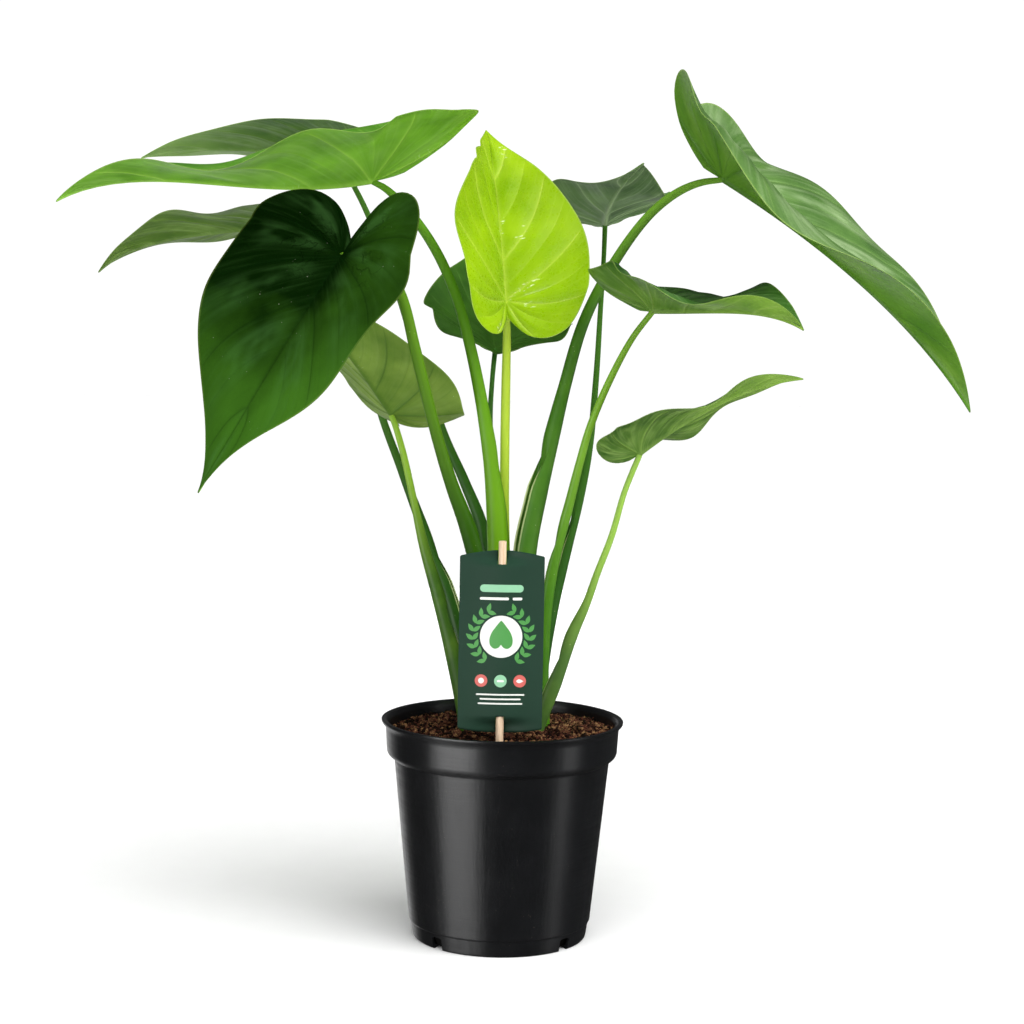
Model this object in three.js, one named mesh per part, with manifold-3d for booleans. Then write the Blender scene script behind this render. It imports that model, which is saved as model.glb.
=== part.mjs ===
// A potted chinese taro: eleven heart-shaped leaves on long stems, in a black nursery pot.
// Millimetres, +Z up, +Y away from the front. The origin is the middle of the pot's base,
// on the surface that the pot stands on.

import * as THREE from "three";
import { mergeVertices } from "three/addons/utils/BufferGeometryUtils.js";
import Module from "manifold-3d";

const wasm = await Module();
wasm.setup();

// The pot, sold as a 21 cm nursery pot
const POT_RIM_RADIUS = 105;
const POT_HEIGHT = 190;
const POT_COLLAR_RADIUS = 100;
const POT_COLLAR_BOTTOM = 156;
const POT_SHOULDER_RADIUS = 93.4;
const POT_FOOT_RADIUS = 79;
const POT_FOOT_HEIGHT = 15;
const POT_BASE_RADIUS = 73;
const POT_WALL = 2;
const POT_FLOOR = 2.6;
const POT_SIDES = 48;
const DRAIN_NOTCHES = 4;
const DRAIN_NOTCH_WIDTH = 11;
const DRAIN_NOTCH_HEIGHT = 11;
const DRAIN_NOTCH_TURN = 47;

// The soil fills the pot to a little below its rim
const SOIL_LEVEL = 177;
const SOIL_RELIEF = 2.2;
const STEM_DEPTH = 22;

// Touching pieces keep this gap
const GAP = 0.3;

// The label card on its round stick
const CARD_WIDTH = 70;
const CARD_HEIGHT = 143;
const CARD_ARCH = 4;
const CARD_THICKNESS = 0.9;
const CARD_MIDDLE = new THREE.Vector3(-2, -80, 268);
const CARD_SLOT_INSET = 11;
const CARD_SLOT_HEIGHT = 14;
const CARD_STEP = 3.4;
const CARD_BOW = 1.5;
const STICK_RADIUS = 3.25;
const STICK_TOP = 353;
const STICK_BOTTOM = 150;
const STICK_SIDES = 14;

// The blades: the flat half outline is given in parts of the blade's length, from the notch
// between the lobes round to the tip, with the stem's joint at 0, 0
const BLADE_THICKNESS = 0.8;
const BLADE_RIB = 1.4;
const VEIN_RIB = 0.4;
const QUILT_HEIGHT = 0.9;
const BLADE_COLUMNS = 20;
const BLADE_ROWS = 4;
const LOBE_REACH = 0.28;
const HALF_WIDTH = 0.4;
const FAN_END = 0.12;
const VEIN_SPREAD = 1.35;
const VEIN_BOW = 0.03;
const HALF_OUTLINE = [
  [-0.085, 0], [-0.15, 0.035], [-0.235, 0.095], [-0.285, 0.18], [-0.265, 0.27],
  [-0.17, 0.345], [-0.03, 0.392], [0.12, 0.4], [0.3, 0.365], [0.47, 0.3],
  [0.63, 0.215], [0.77, 0.13], [0.88, 0.062], [0.95, 0.024], [1, 0],
];

// The stems
const STEM_SIDES = 10;
const STEM_SECTIONS = 15;
const STEM_TOP_RADIUS = 2.4;
const SHEATH_GROOVE = 0.6;
const SHEATH_FADE = 70;

// Leaf values: "joint" is where the stem meets the blade. Angles are in degrees: "heading"
// turns from +X to +Y, "pitch" lifts the tip, "roll" tips the blade to its left. "arch" and
// "droop" bend the midrib down towards the tip, "sway" and "twist" turn it on the way, and
// "lobeTilt" bends the lobes. Each side folds up from the midrib by an angle at the lobe,
// base, middle and tip, and curls further by "curl" out to its edge. "wave" is the height of
// the edge's wave and the phase where it starts, and "waves" counts them along the blade.
const LEAVES = [
  {
    name: "young", colour: 0x9fca1c, joint: [-3, 0, 551], length: 184, width: 1.06, lobes: 0.93,
    heading: 104, pitch: 71, roll: -9, arch: 25, droop: 5, sway: -3, twist: -7, lobeTilt: -21,
    left: { fold: [40, 38, 41, 34], curl: -2, wave: [8.4, 0.29] },
    right: { fold: [42, 37, 40, 23], curl: 9, wave: [7.4, 0.32] }, waves: 1.4,
    sheathTop: 200, faces: 270, stemColour: 0xb4d73c,
    stem: [
      [-2, 8, 526, 3.4], [-2, 10, 485, 3.9], [-2, 13, 431, 4], [-1, 16, 361, 4], [5, 19, 240, 4],
      [6, 19, 178, 4],
    ],
  },
  {
    name: "long_left", colour: 0x5fa523, joint: [-117, -20, 649], length: 265, width: 1.03, lobes: 1.29,
    heading: 199, pitch: -12, roll: 7, arch: -45, droop: 63, sway: -18, twist: -7, lobeTilt: -23,
    left: { fold: [28, 49, 21, 31], curl: -18, wave: [15, -0.29] },
    right: { fold: [23, 32, 21, 27], curl: -16, wave: [5.7, 0.74] }, waves: 1.9,
    sheathTop: 430, faces: 50, stemColour: 0x77b52c,
    stem: [
      [-106, -18, 643, 3], [-85, -14, 623, 3.8], [-63, -11, 592, 4.2], [-45, -8, 553, 4.4],
      [-33, -6, 512, 4.8], [-22, -3, 462, 5.4], [-13, 0, 410, 7], [-7, 2, 350, 9], [-5, 2, 280, 9],
      [0, 2, 178, 9],
    ],
  },
  {
    name: "back_left", colour: 0x3f7a33, joint: [-161, 150, 683], length: 186, width: 1, lobes: 1,
    heading: 175, pitch: 4, roll: -12, arch: 1, droop: 18, sway: -2, twist: 4, lobeTilt: -1,
    left: { fold: [12, 18, 13, 16], curl: -14, wave: [2.7, -0.23] },
    right: { fold: [10, 10, 10, -1], curl: -10, wave: [6.3, 0.37] }, waves: 1.44,
    sheathTop: 360, faces: 320, stemColour: 0x3c6e28,
    stem: [
      [-146, 141, 657, 2.4], [-132, 130, 631, 2.6], [-102, 104, 560, 3], [-76, 73, 484, 3.4],
      [-54, 55, 428, 3.8], [-37, 44, 392, 4.6], [-20, 35, 350, 5.6], [-12, 28, 290, 6],
      [-10, 24, 178, 6],
    ],
  },
  {
    name: "front", colour: 0x2c6a1e, joint: [-134, -120, 583], length: 224, width: 1.04, lobes: 0.85,
    heading: 217, pitch: -53, roll: 16, arch: 8, droop: -4, sway: -5, twist: -2, lobeTilt: -35,
    left: { fold: [6, 26, 3, 18], curl: -12, wave: [11.6, -0.31] },
    right: { fold: [24, 20, 30, -5], curl: -8, wave: [7.9, 0.5] }, waves: 1.68,
    sheathTop: 360, faces: 40, stemColour: 0x5c9e2e,
    stem: [
      [-122, -104, 590, 3], [-103, -98, 579, 3.6], [-88, -92, 554, 4.2], [-76, -80, 508, 4.7],
      [-60, -61, 444, 4.9], [-46, -46, 397, 5.6], [-33, -35, 362, 7], [-22, -27, 325, 8.8],
      [-13, -20, 261, 8.5], [-8, -18, 178, 8],
    ],
  },
  {
    name: "side_left", colour: 0x587f41, joint: [-211, 110, 617], length: 182, width: 1, lobes: 0.83,
    heading: 169, pitch: -7, roll: -4, arch: -5, droop: 39, sway: -3, twist: 4, lobeTilt: -2,
    left: { fold: [10, 10, 20, 16], curl: -14, wave: [5.4, 0.32] },
    right: { fold: [11, 11, 5, 7], curl: -10, wave: [4, -0.15] }, waves: 1.9,
    sheathTop: 350, faces: 350, stemColour: 0x3f7229,
    stem: [
      [-192, 112, 601, 2.5], [-167, 110, 565, 2.8], [-146, 107, 528, 3], [-127, 100, 488, 3.2],
      [-112, 87, 443, 3.4], [-96, 69, 405, 3.7], [-70, 42, 344, 5], [-52, 28, 303, 6.5],
      [-36, 16, 250, 7], [-24, 12, 178, 7],
    ],
  },
  {
    name: "low_left", colour: 0x789b4b, joint: [-100, 6, 452], length: 168, width: 1.01, lobes: 0.91,
    heading: 239, pitch: 41, roll: 0, arch: 10, droop: 7, sway: 4, twist: -7, lobeTilt: -30,
    left: { fold: [29, 14, 22, 31], curl: -9, wave: [4.5, 0.08] },
    right: { fold: [25, 24, 32, 17], curl: -3, wave: [6, 0.28] }, waves: 1.43,
    sheathTop: 300, faces: 20, stemColour: 0x8dbb4a,
    stem: [
      [-96, 4, 441, 2.6], [-89, 2, 418, 2.9], [-78, -2, 372, 3.2], [-70, -5, 340, 4.4],
      [-57, -8, 298, 6], [-44, -9, 250, 7], [-30, -8, 178, 7],
    ],
  },
  {
    name: "back", colour: 0x1e3c1e, joint: [-13, 150, 508], length: 187, width: 1.01, lobes: 0.88,
    heading: 97, pitch: 25, roll: -5, arch: -30, droop: -6, sway: -16, twist: -3, lobeTilt: -57,
    left: { fold: [12, 29, 27, 20], curl: -5, wave: [6.5, 0.43] },
    right: { fold: [19, 28, 20, 20], curl: -10, wave: [6.3, 0.37] }, waves: 1.6,
    sheathTop: 300, faces: 270, stemColour: 0x36642a,
    stem: [
      [-15, 120, 480, 2.2], [-16, 96, 446, 2.4], [-13, 75, 392, 3], [-6, 54, 322, 4],
      [5, 38, 250, 4], [10, 32, 178, 4],
    ],
  },
  {
    name: "long_right", colour: 0x3b7434, joint: [179, 0, 657], length: 291, width: 1.04, lobes: 0.8,
    heading: -22, pitch: -31, roll: 6, arch: 16, droop: 10, sway: 0, twist: 6, lobeTilt: 6,
    left: { fold: [55, 31, 35, 37], curl: -25, wave: [4.8, -0.05] },
    right: { fold: [71, 40, 22, 56], curl: -48, wave: [4.6, 0.05] }, waves: 1.9,
    sheathTop: 440, faces: 170, stemColour: 0x578f34,
    stem: [
      [161, 2, 654, 3], [144, 4, 647, 3.5], [125, 4, 633, 3.8], [108, 4, 614, 4], [83, 3, 575, 4.4],
      [63, 2, 532, 4.9], [48, 1, 477, 5.5], [38, 0, 435, 7], [26, -1, 385, 9.2], [17, -2, 335, 10],
      [15, -2, 270, 9.5], [20, -2, 178, 9],
    ],
  },
  {
    name: "back_right", colour: 0x3c6138, joint: [88, 190, 627], length: 171, width: 1.01, lobes: 0.97,
    heading: -92, pitch: 13, roll: -5, arch: -5, droop: 1, sway: 22, twist: -5, lobeTilt: -33,
    left: { fold: [12, 31, -4, 20], curl: -4, wave: [6.2, -0.22] },
    right: { fold: [16, 11, 25, -11], curl: -8, wave: [6.1, 0.47] }, waves: 1.62,
    sheathTop: 380, faces: 200, stemColour: 0x325a26,
    stem: [
      [87, 178, 595, 2.2], [84, 155, 547, 2.4], [80, 125, 482, 2.8], [74, 97, 419, 3.2],
      [65, 78, 375, 4.4], [53, 59, 328, 5.2], [42, 45, 280, 5.8], [34, 32, 230, 6], [30, 24, 178, 6],
    ],
  },
  {
    name: "side_right", colour: 0x55823c, joint: [119, -50, 544], length: 159, width: 1.12, lobes: 1.15,
    heading: -39, pitch: 0, roll: 3, arch: -4, droop: 28, sway: -12, twist: 0, lobeTilt: -24,
    left: { fold: [27, 19, 31, 38], curl: -12, wave: [5.7, 0.34] },
    right: { fold: [26, 49, 12, 64], curl: -15, wave: [8.9, 0.77] }, waves: 1.7,
    sheathTop: 370, faces: 170, stemColour: 0x5a962d,
    stem: [
      [103, -44, 521, 2.6], [85, -37, 485, 3], [70, -29, 446, 3.2], [62, -22, 415, 3.5],
      [53, -14, 375, 4.2], [43, -7, 334, 5], [36, 0, 285, 5.4], [34, 3, 235, 5.6], [36, 6, 178, 5.5],
    ],
  },
  {
    name: "low_right", colour: 0x5a873c, joint: [109, -80, 427], length: 149, width: 1.01, lobes: 0.73,
    heading: -2, pitch: 39, roll: 25, arch: 20, droop: 13, sway: 2, twist: -2, lobeTilt: -20,
    left: { fold: [68, 29, 13, 17], curl: -9, wave: [6.8, 0.16] },
    right: { fold: [18, 18, -8, 22], curl: -13, wave: [5.9, -0.19] }, waves: 1.92,
    sheathTop: 270, faces: 160, stemColour: 0x7da548,
    stem: [
      [98, -68, 394, 2.4], [89, -56, 357, 2.7], [77, -45, 321, 3], [70, -38, 298, 3.5],
      [58, -31, 269, 5.3], [44, -25, 226, 6.4], [29, -20, 178, 5.6],
    ],
  },
];

const COLOURS = { pot: 0x1f1f20, soil: 0x5b3a2c, card: 0x2d4a3a, stick: 0xe1c3a5 };

const radians = THREE.MathUtils.degToRad;

// Turns lists of points and triangles into a geometry
function geometryOf(points, triangles) {
  const geometry = new THREE.BufferGeometry();
  geometry.setAttribute("position", new THREE.Float32BufferAttribute(points.flat(), 3));
  geometry.setIndex(triangles.flat());
  return geometry;
}

// A closed geometry as a solid that can be cut
function solidOf(geometry) {
  const bare = geometry.clone();
  bare.deleteAttribute("normal");
  bare.deleteAttribute("uv");
  const merged = mergeVertices(bare, 1e-4);
  const mesh = new wasm.Mesh({
    numProp: 3,
    vertProperties: new Float32Array(merged.attributes.position.array),
    triVerts: new Uint32Array(merged.index.array),
  });
  return new wasm.Manifold(mesh);
}

// A cut solid as a geometry again
function geometryFrom(solid) {
  const { vertProperties, triVerts } = solid.getMesh();
  const geometry = new THREE.BufferGeometry();
  geometry.setAttribute("position", new THREE.Float32BufferAttribute(vertProperties, 3));
  geometry.setIndex(new THREE.Uint32BufferAttribute(triVerts, 1));
  return geometry;
}

function piece(name, geometry, colour, roughness) {
  const flatShaded = geometry.index ? geometry.toNonIndexed() : geometry;
  flatShaded.computeVertexNormals();
  const material = new THREE.MeshStandardMaterial({ color: colour, roughness, metalness: 0 });
  const mesh = new THREE.Mesh(flatShaded, material);
  mesh.name = name;
  return mesh;
}

// A turned body stands along +Z here, and LatheGeometry turns about +Y
function turned(profile, sides) {
  const outline = profile.map(([radius, height]) => new THREE.Vector2(radius, height));
  return new THREE.LatheGeometry(outline, sides).rotateX(Math.PI / 2);
}

// The pot's inner radius at a height: wall below the shoulder, collar above it
function potInside(height) {
  const taper = (POT_SHOULDER_RADIUS - POT_FOOT_RADIUS) / (POT_COLLAR_BOTTOM - POT_FOOT_HEIGHT);
  const wall = POT_FOOT_RADIUS + taper * (height - POT_FOOT_HEIGHT) - POT_WALL;
  const step = THREE.MathUtils.smoothstep(height, POT_COLLAR_BOTTOM - 1, POT_COLLAR_BOTTOM + 6);
  return THREE.MathUtils.lerp(wall, POT_COLLAR_RADIUS - POT_WALL, step);
}

// One moulded pot: rounded base, foot ring, tapering wall, collar band and thin flared lip
function makePot() {
  const profile = [
    [0, 0], [POT_BASE_RADIUS, 0], [POT_BASE_RADIUS + 2.4, 1.2], [POT_BASE_RADIUS + 3.6, 4],
    [POT_FOOT_RADIUS - 1.4, POT_FOOT_HEIGHT - 2], [POT_FOOT_RADIUS, POT_FOOT_HEIGHT],
    [POT_SHOULDER_RADIUS, POT_COLLAR_BOTTOM], [POT_COLLAR_RADIUS - 0.8, POT_COLLAR_BOTTOM + 4],
    [POT_COLLAR_RADIUS, POT_COLLAR_BOTTOM + 8], [POT_COLLAR_RADIUS + 1.2, POT_HEIGHT - 4.5],
    [POT_RIM_RADIUS - 0.4, POT_HEIGHT - 2.2], [POT_RIM_RADIUS, POT_HEIGHT - 1],
    [POT_RIM_RADIUS - 0.6, POT_HEIGHT], [POT_COLLAR_RADIUS, POT_HEIGHT],
    [potInside(POT_HEIGHT), POT_HEIGHT - 3], [potInside(POT_COLLAR_BOTTOM + 6), POT_COLLAR_BOTTOM + 6],
    [potInside(POT_COLLAR_BOTTOM - 3), POT_COLLAR_BOTTOM - 3],
    [potInside(POT_FOOT_HEIGHT), POT_FOOT_HEIGHT], [POT_BASE_RADIUS - 0.5, POT_FLOOR], [0, POT_FLOOR],
  ];
  let pot = solidOf(turned(profile, POT_SIDES));
  for (let i = 0; i < DRAIN_NOTCHES; i += 1) {
    const angle = radians(DRAIN_NOTCH_TURN + (360 / DRAIN_NOTCHES) * i);
    const notch = new THREE.BoxGeometry(16, DRAIN_NOTCH_WIDTH, 2 * DRAIN_NOTCH_HEIGHT);
    notch.translate(POT_BASE_RADIUS + 3, 0, 0).rotateZ(angle);
    pot = pot.subtract(solidOf(notch));
  }
  return piece("pot", geometryFrom(pot), COLOURS.pot, 0.35);
}

// Low lumps in the soil's top
function soilLump(x, y) {
  const broad = Math.sin(x * 0.071 + 1.3) * Math.cos(y * 0.083 - 0.4);
  const small = Math.sin(x * 0.19 - y * 0.13) * Math.cos(y * 0.21 + 0.7);
  return SOIL_RELIEF * (0.6 * broad + 0.4 * small);
}

// The soil: a turned body that follows the pot's inside, with a lumpy top
function makeSoil(cutters) {
  const bottom = POT_FLOOR + GAP;
  const edge = potInside(SOIL_LEVEL) - GAP;
  const rings = [edge, 84, 70, 56, 42, 28, 14, 0];
  const profile = [
    [0, bottom], [POT_BASE_RADIUS - 1.2, bottom], [potInside(POT_FOOT_HEIGHT) - 2 * GAP, POT_FOOT_HEIGHT],
    [potInside(POT_COLLAR_BOTTOM - 3) - 2 * GAP, POT_COLLAR_BOTTOM - 3],
    [potInside(POT_COLLAR_BOTTOM + 6) - 2 * GAP, POT_COLLAR_BOTTOM + 6],
    ...rings.map((radius) => [radius, SOIL_LEVEL - 2.5 * (radius / edge) ** 6]),
  ];
  const geometry = turned(profile, 40);
  const position = geometry.attributes.position;
  for (let i = 0; i < position.count; i += 1) {
    const x = position.getX(i);
    const y = position.getY(i);
    if (position.getZ(i) > SOIL_LEVEL - 6) {
      position.setZ(i, position.getZ(i) + soilLump(x, y));
    }
  }
  let soil = solidOf(geometry);
  for (const cutter of cutters) {
    soil = soil.subtract(cutter);
  }
  return piece("soil", geometryFrom(soil), COLOURS.soil, 0.95);
}

// How far the card's middle plane lies in front of (-) or behind (+) the stick's axis
function cardOffset(height) {
  const clear = STICK_RADIUS + GAP + CARD_THICKNESS / 2;
  const slot = CARD_HEIGHT / 2 - CARD_SLOT_INSET;
  const away = Math.abs(height);
  const behind = THREE.MathUtils.smoothstep(away, slot - CARD_STEP, slot + CARD_STEP);
  const bow = CARD_BOW * Math.max(0, 1 - (away / slot) ** 2);
  return THREE.MathUtils.lerp(-clear - bow, clear, behind);
}

// The card: its top and bottom edges arch, it passes in front of the stick between two slots
// and behind it at both ends
function makeCard() {
  const box = new THREE.BoxGeometry(CARD_WIDTH, CARD_THICKNESS, CARD_HEIGHT, 6, 1, 44);
  const position = box.attributes.position;
  for (let i = 0; i < position.count; i += 1) {
    const x = position.getX(i);
    const z = position.getZ(i);
    const arch = CARD_ARCH * (1 - (2 * x / CARD_WIDTH) ** 2) * (2 * z / CARD_HEIGHT);
    position.setY(i, position.getY(i) + cardOffset(z));
    position.setZ(i, z + arch * (Math.abs(2 * z / CARD_HEIGHT)) ** 6);
  }
  let card = solidOf(box);
  for (const side of [-1, 1]) {
    const slot = new THREE.BoxGeometry(2 * (STICK_RADIUS + GAP), 40, CARD_SLOT_HEIGHT);
    slot.translate(0, 0, side * (CARD_HEIGHT / 2 - CARD_SLOT_INSET));
    card = card.subtract(solidOf(slot));
  }
  const geometry = geometryFrom(card);
  geometry.translate(CARD_MIDDLE.x, CARD_MIDDLE.y, CARD_MIDDLE.z);
  return piece("label_card", geometry, COLOURS.card, 0.45);
}

function stickGeometry(grow) {
  const length = STICK_TOP - STICK_BOTTOM + 2 * grow;
  const stick = new THREE.CylinderGeometry(STICK_RADIUS + grow, STICK_RADIUS + grow, length, STICK_SIDES);
  stick.rotateX(Math.PI / 2);
  stick.translate(CARD_MIDDLE.x, CARD_MIDDLE.y, (STICK_TOP + STICK_BOTTOM) / 2);
  return stick;
}

// The midrib's direction, upper side and left side at a station, in parts of the length
function bladeAxes(leaf, x) {
  const ahead = Math.max(x, 0);
  const behind = Math.min(x, 0);
  const bend = leaf.arch * ahead + leaf.droop * ahead ** 3 + leaf.lobeTilt * behind / LOBE_REACH;
  const pitch = radians(leaf.pitch - bend);
  const heading = radians(leaf.heading + leaf.sway * ahead);
  const roll = radians(leaf.roll + leaf.twist * ahead);
  const [cosP, sinP] = [Math.cos(pitch), Math.sin(pitch)];
  const [cosH, sinH] = [Math.cos(heading), Math.sin(heading)];
  const along = new THREE.Vector3(cosP * cosH, cosP * sinH, sinP);
  const level = new THREE.Vector3(-sinP * cosH, -sinP * sinH, cosP);
  const side = new THREE.Vector3().crossVectors(level, along);
  const up = level.clone().multiplyScalar(Math.cos(roll)).addScaledVector(side, Math.sin(roll));
  const left = side.multiplyScalar(Math.cos(roll)).addScaledVector(level, -Math.sin(roll));
  return { along, up, left };
}

// The midrib's place at a station: the direction is added up in small steps from the joint
function midribPoint(leaf, x) {
  const steps = Math.max(1, Math.ceil(Math.abs(x) / 0.02));
  const point = new THREE.Vector3(...leaf.joint);
  for (let i = 0; i < steps; i += 1) {
    const { along } = bladeAxes(leaf, (x * (i + 0.5)) / steps);
    point.addScaledVector(along, (leaf.length * x) / steps);
  }
  return point;
}

// How far a side folds up from the midrib at a station
function foldAt(fold, x) {
  const [lobe, base, middle, tip] = fold;
  const t = Math.max(x, 0);
  const through = (base * (t - 0.45) * (t - 0.9)) / 0.405 - (middle * t * (t - 0.9)) / 0.2025
    + (tip * t * (t - 0.45)) / 0.405;
  return through + (lobe - base) * THREE.MathUtils.smoothstep(-x, 0, LOBE_REACH);
}

// A point of the blade's middle layer, from its flat place (x along, y out, side +1 left)
function bladePoint(leaf, flatX, flatY, side) {
  const x = flatX < 0 ? flatX * leaf.lobes : flatX;
  const out = flatY * leaf.width;
  const half = side > 0 ? leaf.left : leaf.right;
  const { up, left } = bladeAxes(leaf, x);
  const fold = radians(foldAt(half.fold, x));
  const bend = radians(half.curl) / HALF_WIDTH;
  const angle = fold + bend * out;
  const across = (Math.sin(angle) - Math.sin(fold)) / bend;
  const rise = (Math.cos(fold) - Math.cos(angle)) / bend;
  const [height, phase] = half.wave;
  const wave = (height / leaf.length) * (out / HALF_WIDTH) ** 1.5
    * Math.sin(2 * Math.PI * (leaf.waves * x + phase));
  const sideways = across - wave * Math.sin(angle);
  const upwards = rise + wave * Math.cos(angle);
  return midribPoint(leaf, x)
    .addScaledVector(left, side * leaf.length * sideways)
    .addScaledVector(up, leaf.length * upwards);
}

// The flat place of column i, row j: columns run along the side veins, rows out to the edge
const outlineCurve = new THREE.SplineCurve(HALF_OUTLINE.map(([x, y]) => new THREE.Vector2(x, y)));

function flatPlace(column, row) {
  const edge = outlineCurve.getPointAt(column / BLADE_COLUMNS);
  const start = edge.x < FAN_END ? 0 : ((edge.x - FAN_END) / (1 - FAN_END)) ** VEIN_SPREAD;
  const v = row / BLADE_ROWS;
  const bow = VEIN_BOW * Math.min(1, 5 * start * (1 - start)) * Math.sin(Math.PI * v);
  return { x: start + (edge.x - start) * v - bow, y: Math.max(edge.y, 0) * v, start };
}

// The blade as one closed body: the same triangles on both faces, joined round the edge.
// Every second column is a side vein, with a rib below and the blade quilted up between.
function makeBlade(leaf) {
  const points = [];
  const lift = [];
  const thickness = [];
  const triangles = [];
  const known = new Map();

  function vertex(side, column, row) {
    const { x, y, start } = flatPlace(column, row);
    const onMidrib = row === 0 || column === BLADE_COLUMNS;
    const key = onMidrib ? `m${start.toFixed(4)}` : column === 0 ? `n${row}` : `${side},${column},${row}`;
    if (!known.has(key)) {
      known.set(key, points.length);
      const v = row / BLADE_ROWS;
      const vein = column % 2 === 0;
      const taper = 1 - start;
      points.push(bladePoint(leaf, x, y, side));
      lift.push(onMidrib || vein ? 0 : QUILT_HEIGHT * Math.sin(Math.PI * v));
      const rib = onMidrib ? BLADE_RIB * taper : (vein ? VEIN_RIB : 0) * (1 - v);
      thickness.push(BLADE_THICKNESS + rib);
    }
    return known.get(key);
  }

  for (const side of [1, -1]) {
    for (let i = 0; i < BLADE_COLUMNS; i += 1) {
      for (let j = 0; j < BLADE_ROWS; j += 1) {
        const a = vertex(side, i, j);
        const b = vertex(side, i, j + 1);
        const c = vertex(side, i + 1, j + 1);
        const d = vertex(side, i + 1, j);
        triangles.push(...(side > 0 ? [[a, d, c], [a, c, b]] : [[a, c, d], [a, b, c]]));
      }
    }
  }
  const used = triangles.filter(([a, b, c]) => a !== b && b !== c && a !== c);
  return thicken(points, used, lift, thickness);
}

// Gives a sheet of triangles its thickness, along the mean normal of each point
function thicken(points, triangles, lift, thickness) {
  const normals = points.map(() => new THREE.Vector3());
  for (const [a, b, c] of triangles) {
    const normal = new THREE.Vector3()
      .crossVectors(points[b].clone().sub(points[a]), points[c].clone().sub(points[a]));
    [a, b, c].forEach((i) => normals[i].add(normal));
  }
  const upper = [];
  const lower = [];
  points.forEach((point, i) => {
    const normal = normals[i].normalize();
    upper.push(point.clone().addScaledVector(normal, BLADE_THICKNESS / 2 + lift[i]).toArray());
    lower.push(
      point.clone().addScaledVector(normal, BLADE_THICKNESS / 2 - thickness[i] + lift[i]).toArray(),
    );
  });
  const count = points.length;
  const all = [];
  const edges = new Map();
  for (const [a, b, c] of triangles) {
    all.push([a, b, c], [a + count, c + count, b + count]);
    for (const [from, to] of [[a, b], [b, c], [c, a]]) {
      edges.set(`${from},${to}`, [from, to]);
    }
  }
  for (const [from, to] of edges.values()) {
    if (!edges.has(`${to},${from}`)) {
      all.push([from, from + count, to + count], [from, to + count, to]);
    }
  }
  return geometryOf([...upper, ...lower], all);
}

// A stem's curve and radii, from just under its blade down into the soil
function stemPath(leaf, grow) {
  const { along, up } = bladeAxes(leaf, 0);
  const joint = new THREE.Vector3(...leaf.joint);
  const [x, y, z] = leaf.stem[0];
  const arriving = joint.clone().sub(new THREE.Vector3(x, y, z)).normalize();
  const slant = Math.sqrt(Math.max(0, 1 - arriving.dot(up) ** 2));
  const drop = BLADE_THICKNESS / 2 + BLADE_RIB + GAP + STEM_TOP_RADIUS * slant;
  const top = joint.addScaledVector(up, -drop).addScaledVector(along, -0.5);
  const [footX, footY, footZ, footRadius] = leaf.stem[leaf.stem.length - 1];
  const foot = new THREE.Vector3(footX, footY, footZ - STEM_DEPTH - grow);
  const route = [top, ...leaf.stem.map(([px, py, pz]) => new THREE.Vector3(px, py, pz)), foot];
  const radii = [STEM_TOP_RADIUS, ...leaf.stem.map((entry) => entry[3]), footRadius];
  return { curve: new THREE.CatmullRomCurve3(route), radii };
}

// The directions in which a stem's groove opens at each of its stations. They are carried from
// the foot up along the curve, so that the tube never twists where it leans.
function grooveDirections(leaf, curve, stations) {
  const facing = radians(leaf.faces);
  let inward = new THREE.Vector3(Math.cos(facing), Math.sin(facing), 0);
  const directions = [];
  for (const u of stations.toReversed()) {
    const tangent = curve.getTangent(u);
    inward = inward.clone().addScaledVector(tangent, -inward.dot(tangent)).normalize();
    directions.unshift(inward);
  }
  return directions;
}

// The stem as one closed tube. Below the sheath's top it has an open groove on the side that
// faces the middle of the plant.
function makeStem(leaf, { grow = 0, grooved = true } = {}) {
  const { curve, radii } = stemPath(leaf, grow);
  const spans = radii.length - 1;
  const steps = Array.from({ length: STEM_SECTIONS + 1 }, (_, i) => i / STEM_SECTIONS);
  const stations = steps.map((step) => curve.getUtoTmapping(step));
  const directions = grooveDirections(leaf, curve, stations);
  const points = [];
  stations.forEach((u, i) => {
    const centre = curve.getPoint(u);
    const inward = directions[i];
    const sideways = new THREE.Vector3().crossVectors(curve.getTangent(u), inward);
    const span = Math.min(Math.floor(u * spans), spans - 1);
    const radius = THREE.MathUtils.lerp(radii[span], radii[span + 1], u * spans - span) + grow;
    const open = 1 - THREE.MathUtils.smoothstep(centre.z, leaf.sheathTop - SHEATH_FADE, leaf.sheathTop);
    for (let k = 0; k < STEM_SIDES; k += 1) {
      const angle = (2 * Math.PI * k) / STEM_SIDES;
      const groove = grooved && k === 0 ? SHEATH_GROOVE * open : 0;
      const reach = radius * (1 - groove);
      points.push(centre.clone()
        .addScaledVector(inward, reach * Math.cos(angle))
        .addScaledVector(sideways, reach * Math.sin(angle)).toArray());
    }
  });
  const last = STEM_SECTIONS * STEM_SIDES;
  const topCentre = points.length;
  points.push(curve.getPoint(0).toArray(), curve.getPoint(1).toArray());
  const triangles = [];
  for (let k = 0; k < STEM_SIDES; k += 1) {
    const next = (k + 1) % STEM_SIDES;
    for (let i = 0; i < STEM_SECTIONS; i += 1) {
      const [a, b] = [i * STEM_SIDES + k, i * STEM_SIDES + next];
      triangles.push([a, b, b + STEM_SIDES], [a, b + STEM_SIDES, a + STEM_SIDES]);
    }
    triangles.push([topCentre, next, k], [topCentre + 1, last + k, last + next]);
  }
  return geometryOf(points, triangles);
}

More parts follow.
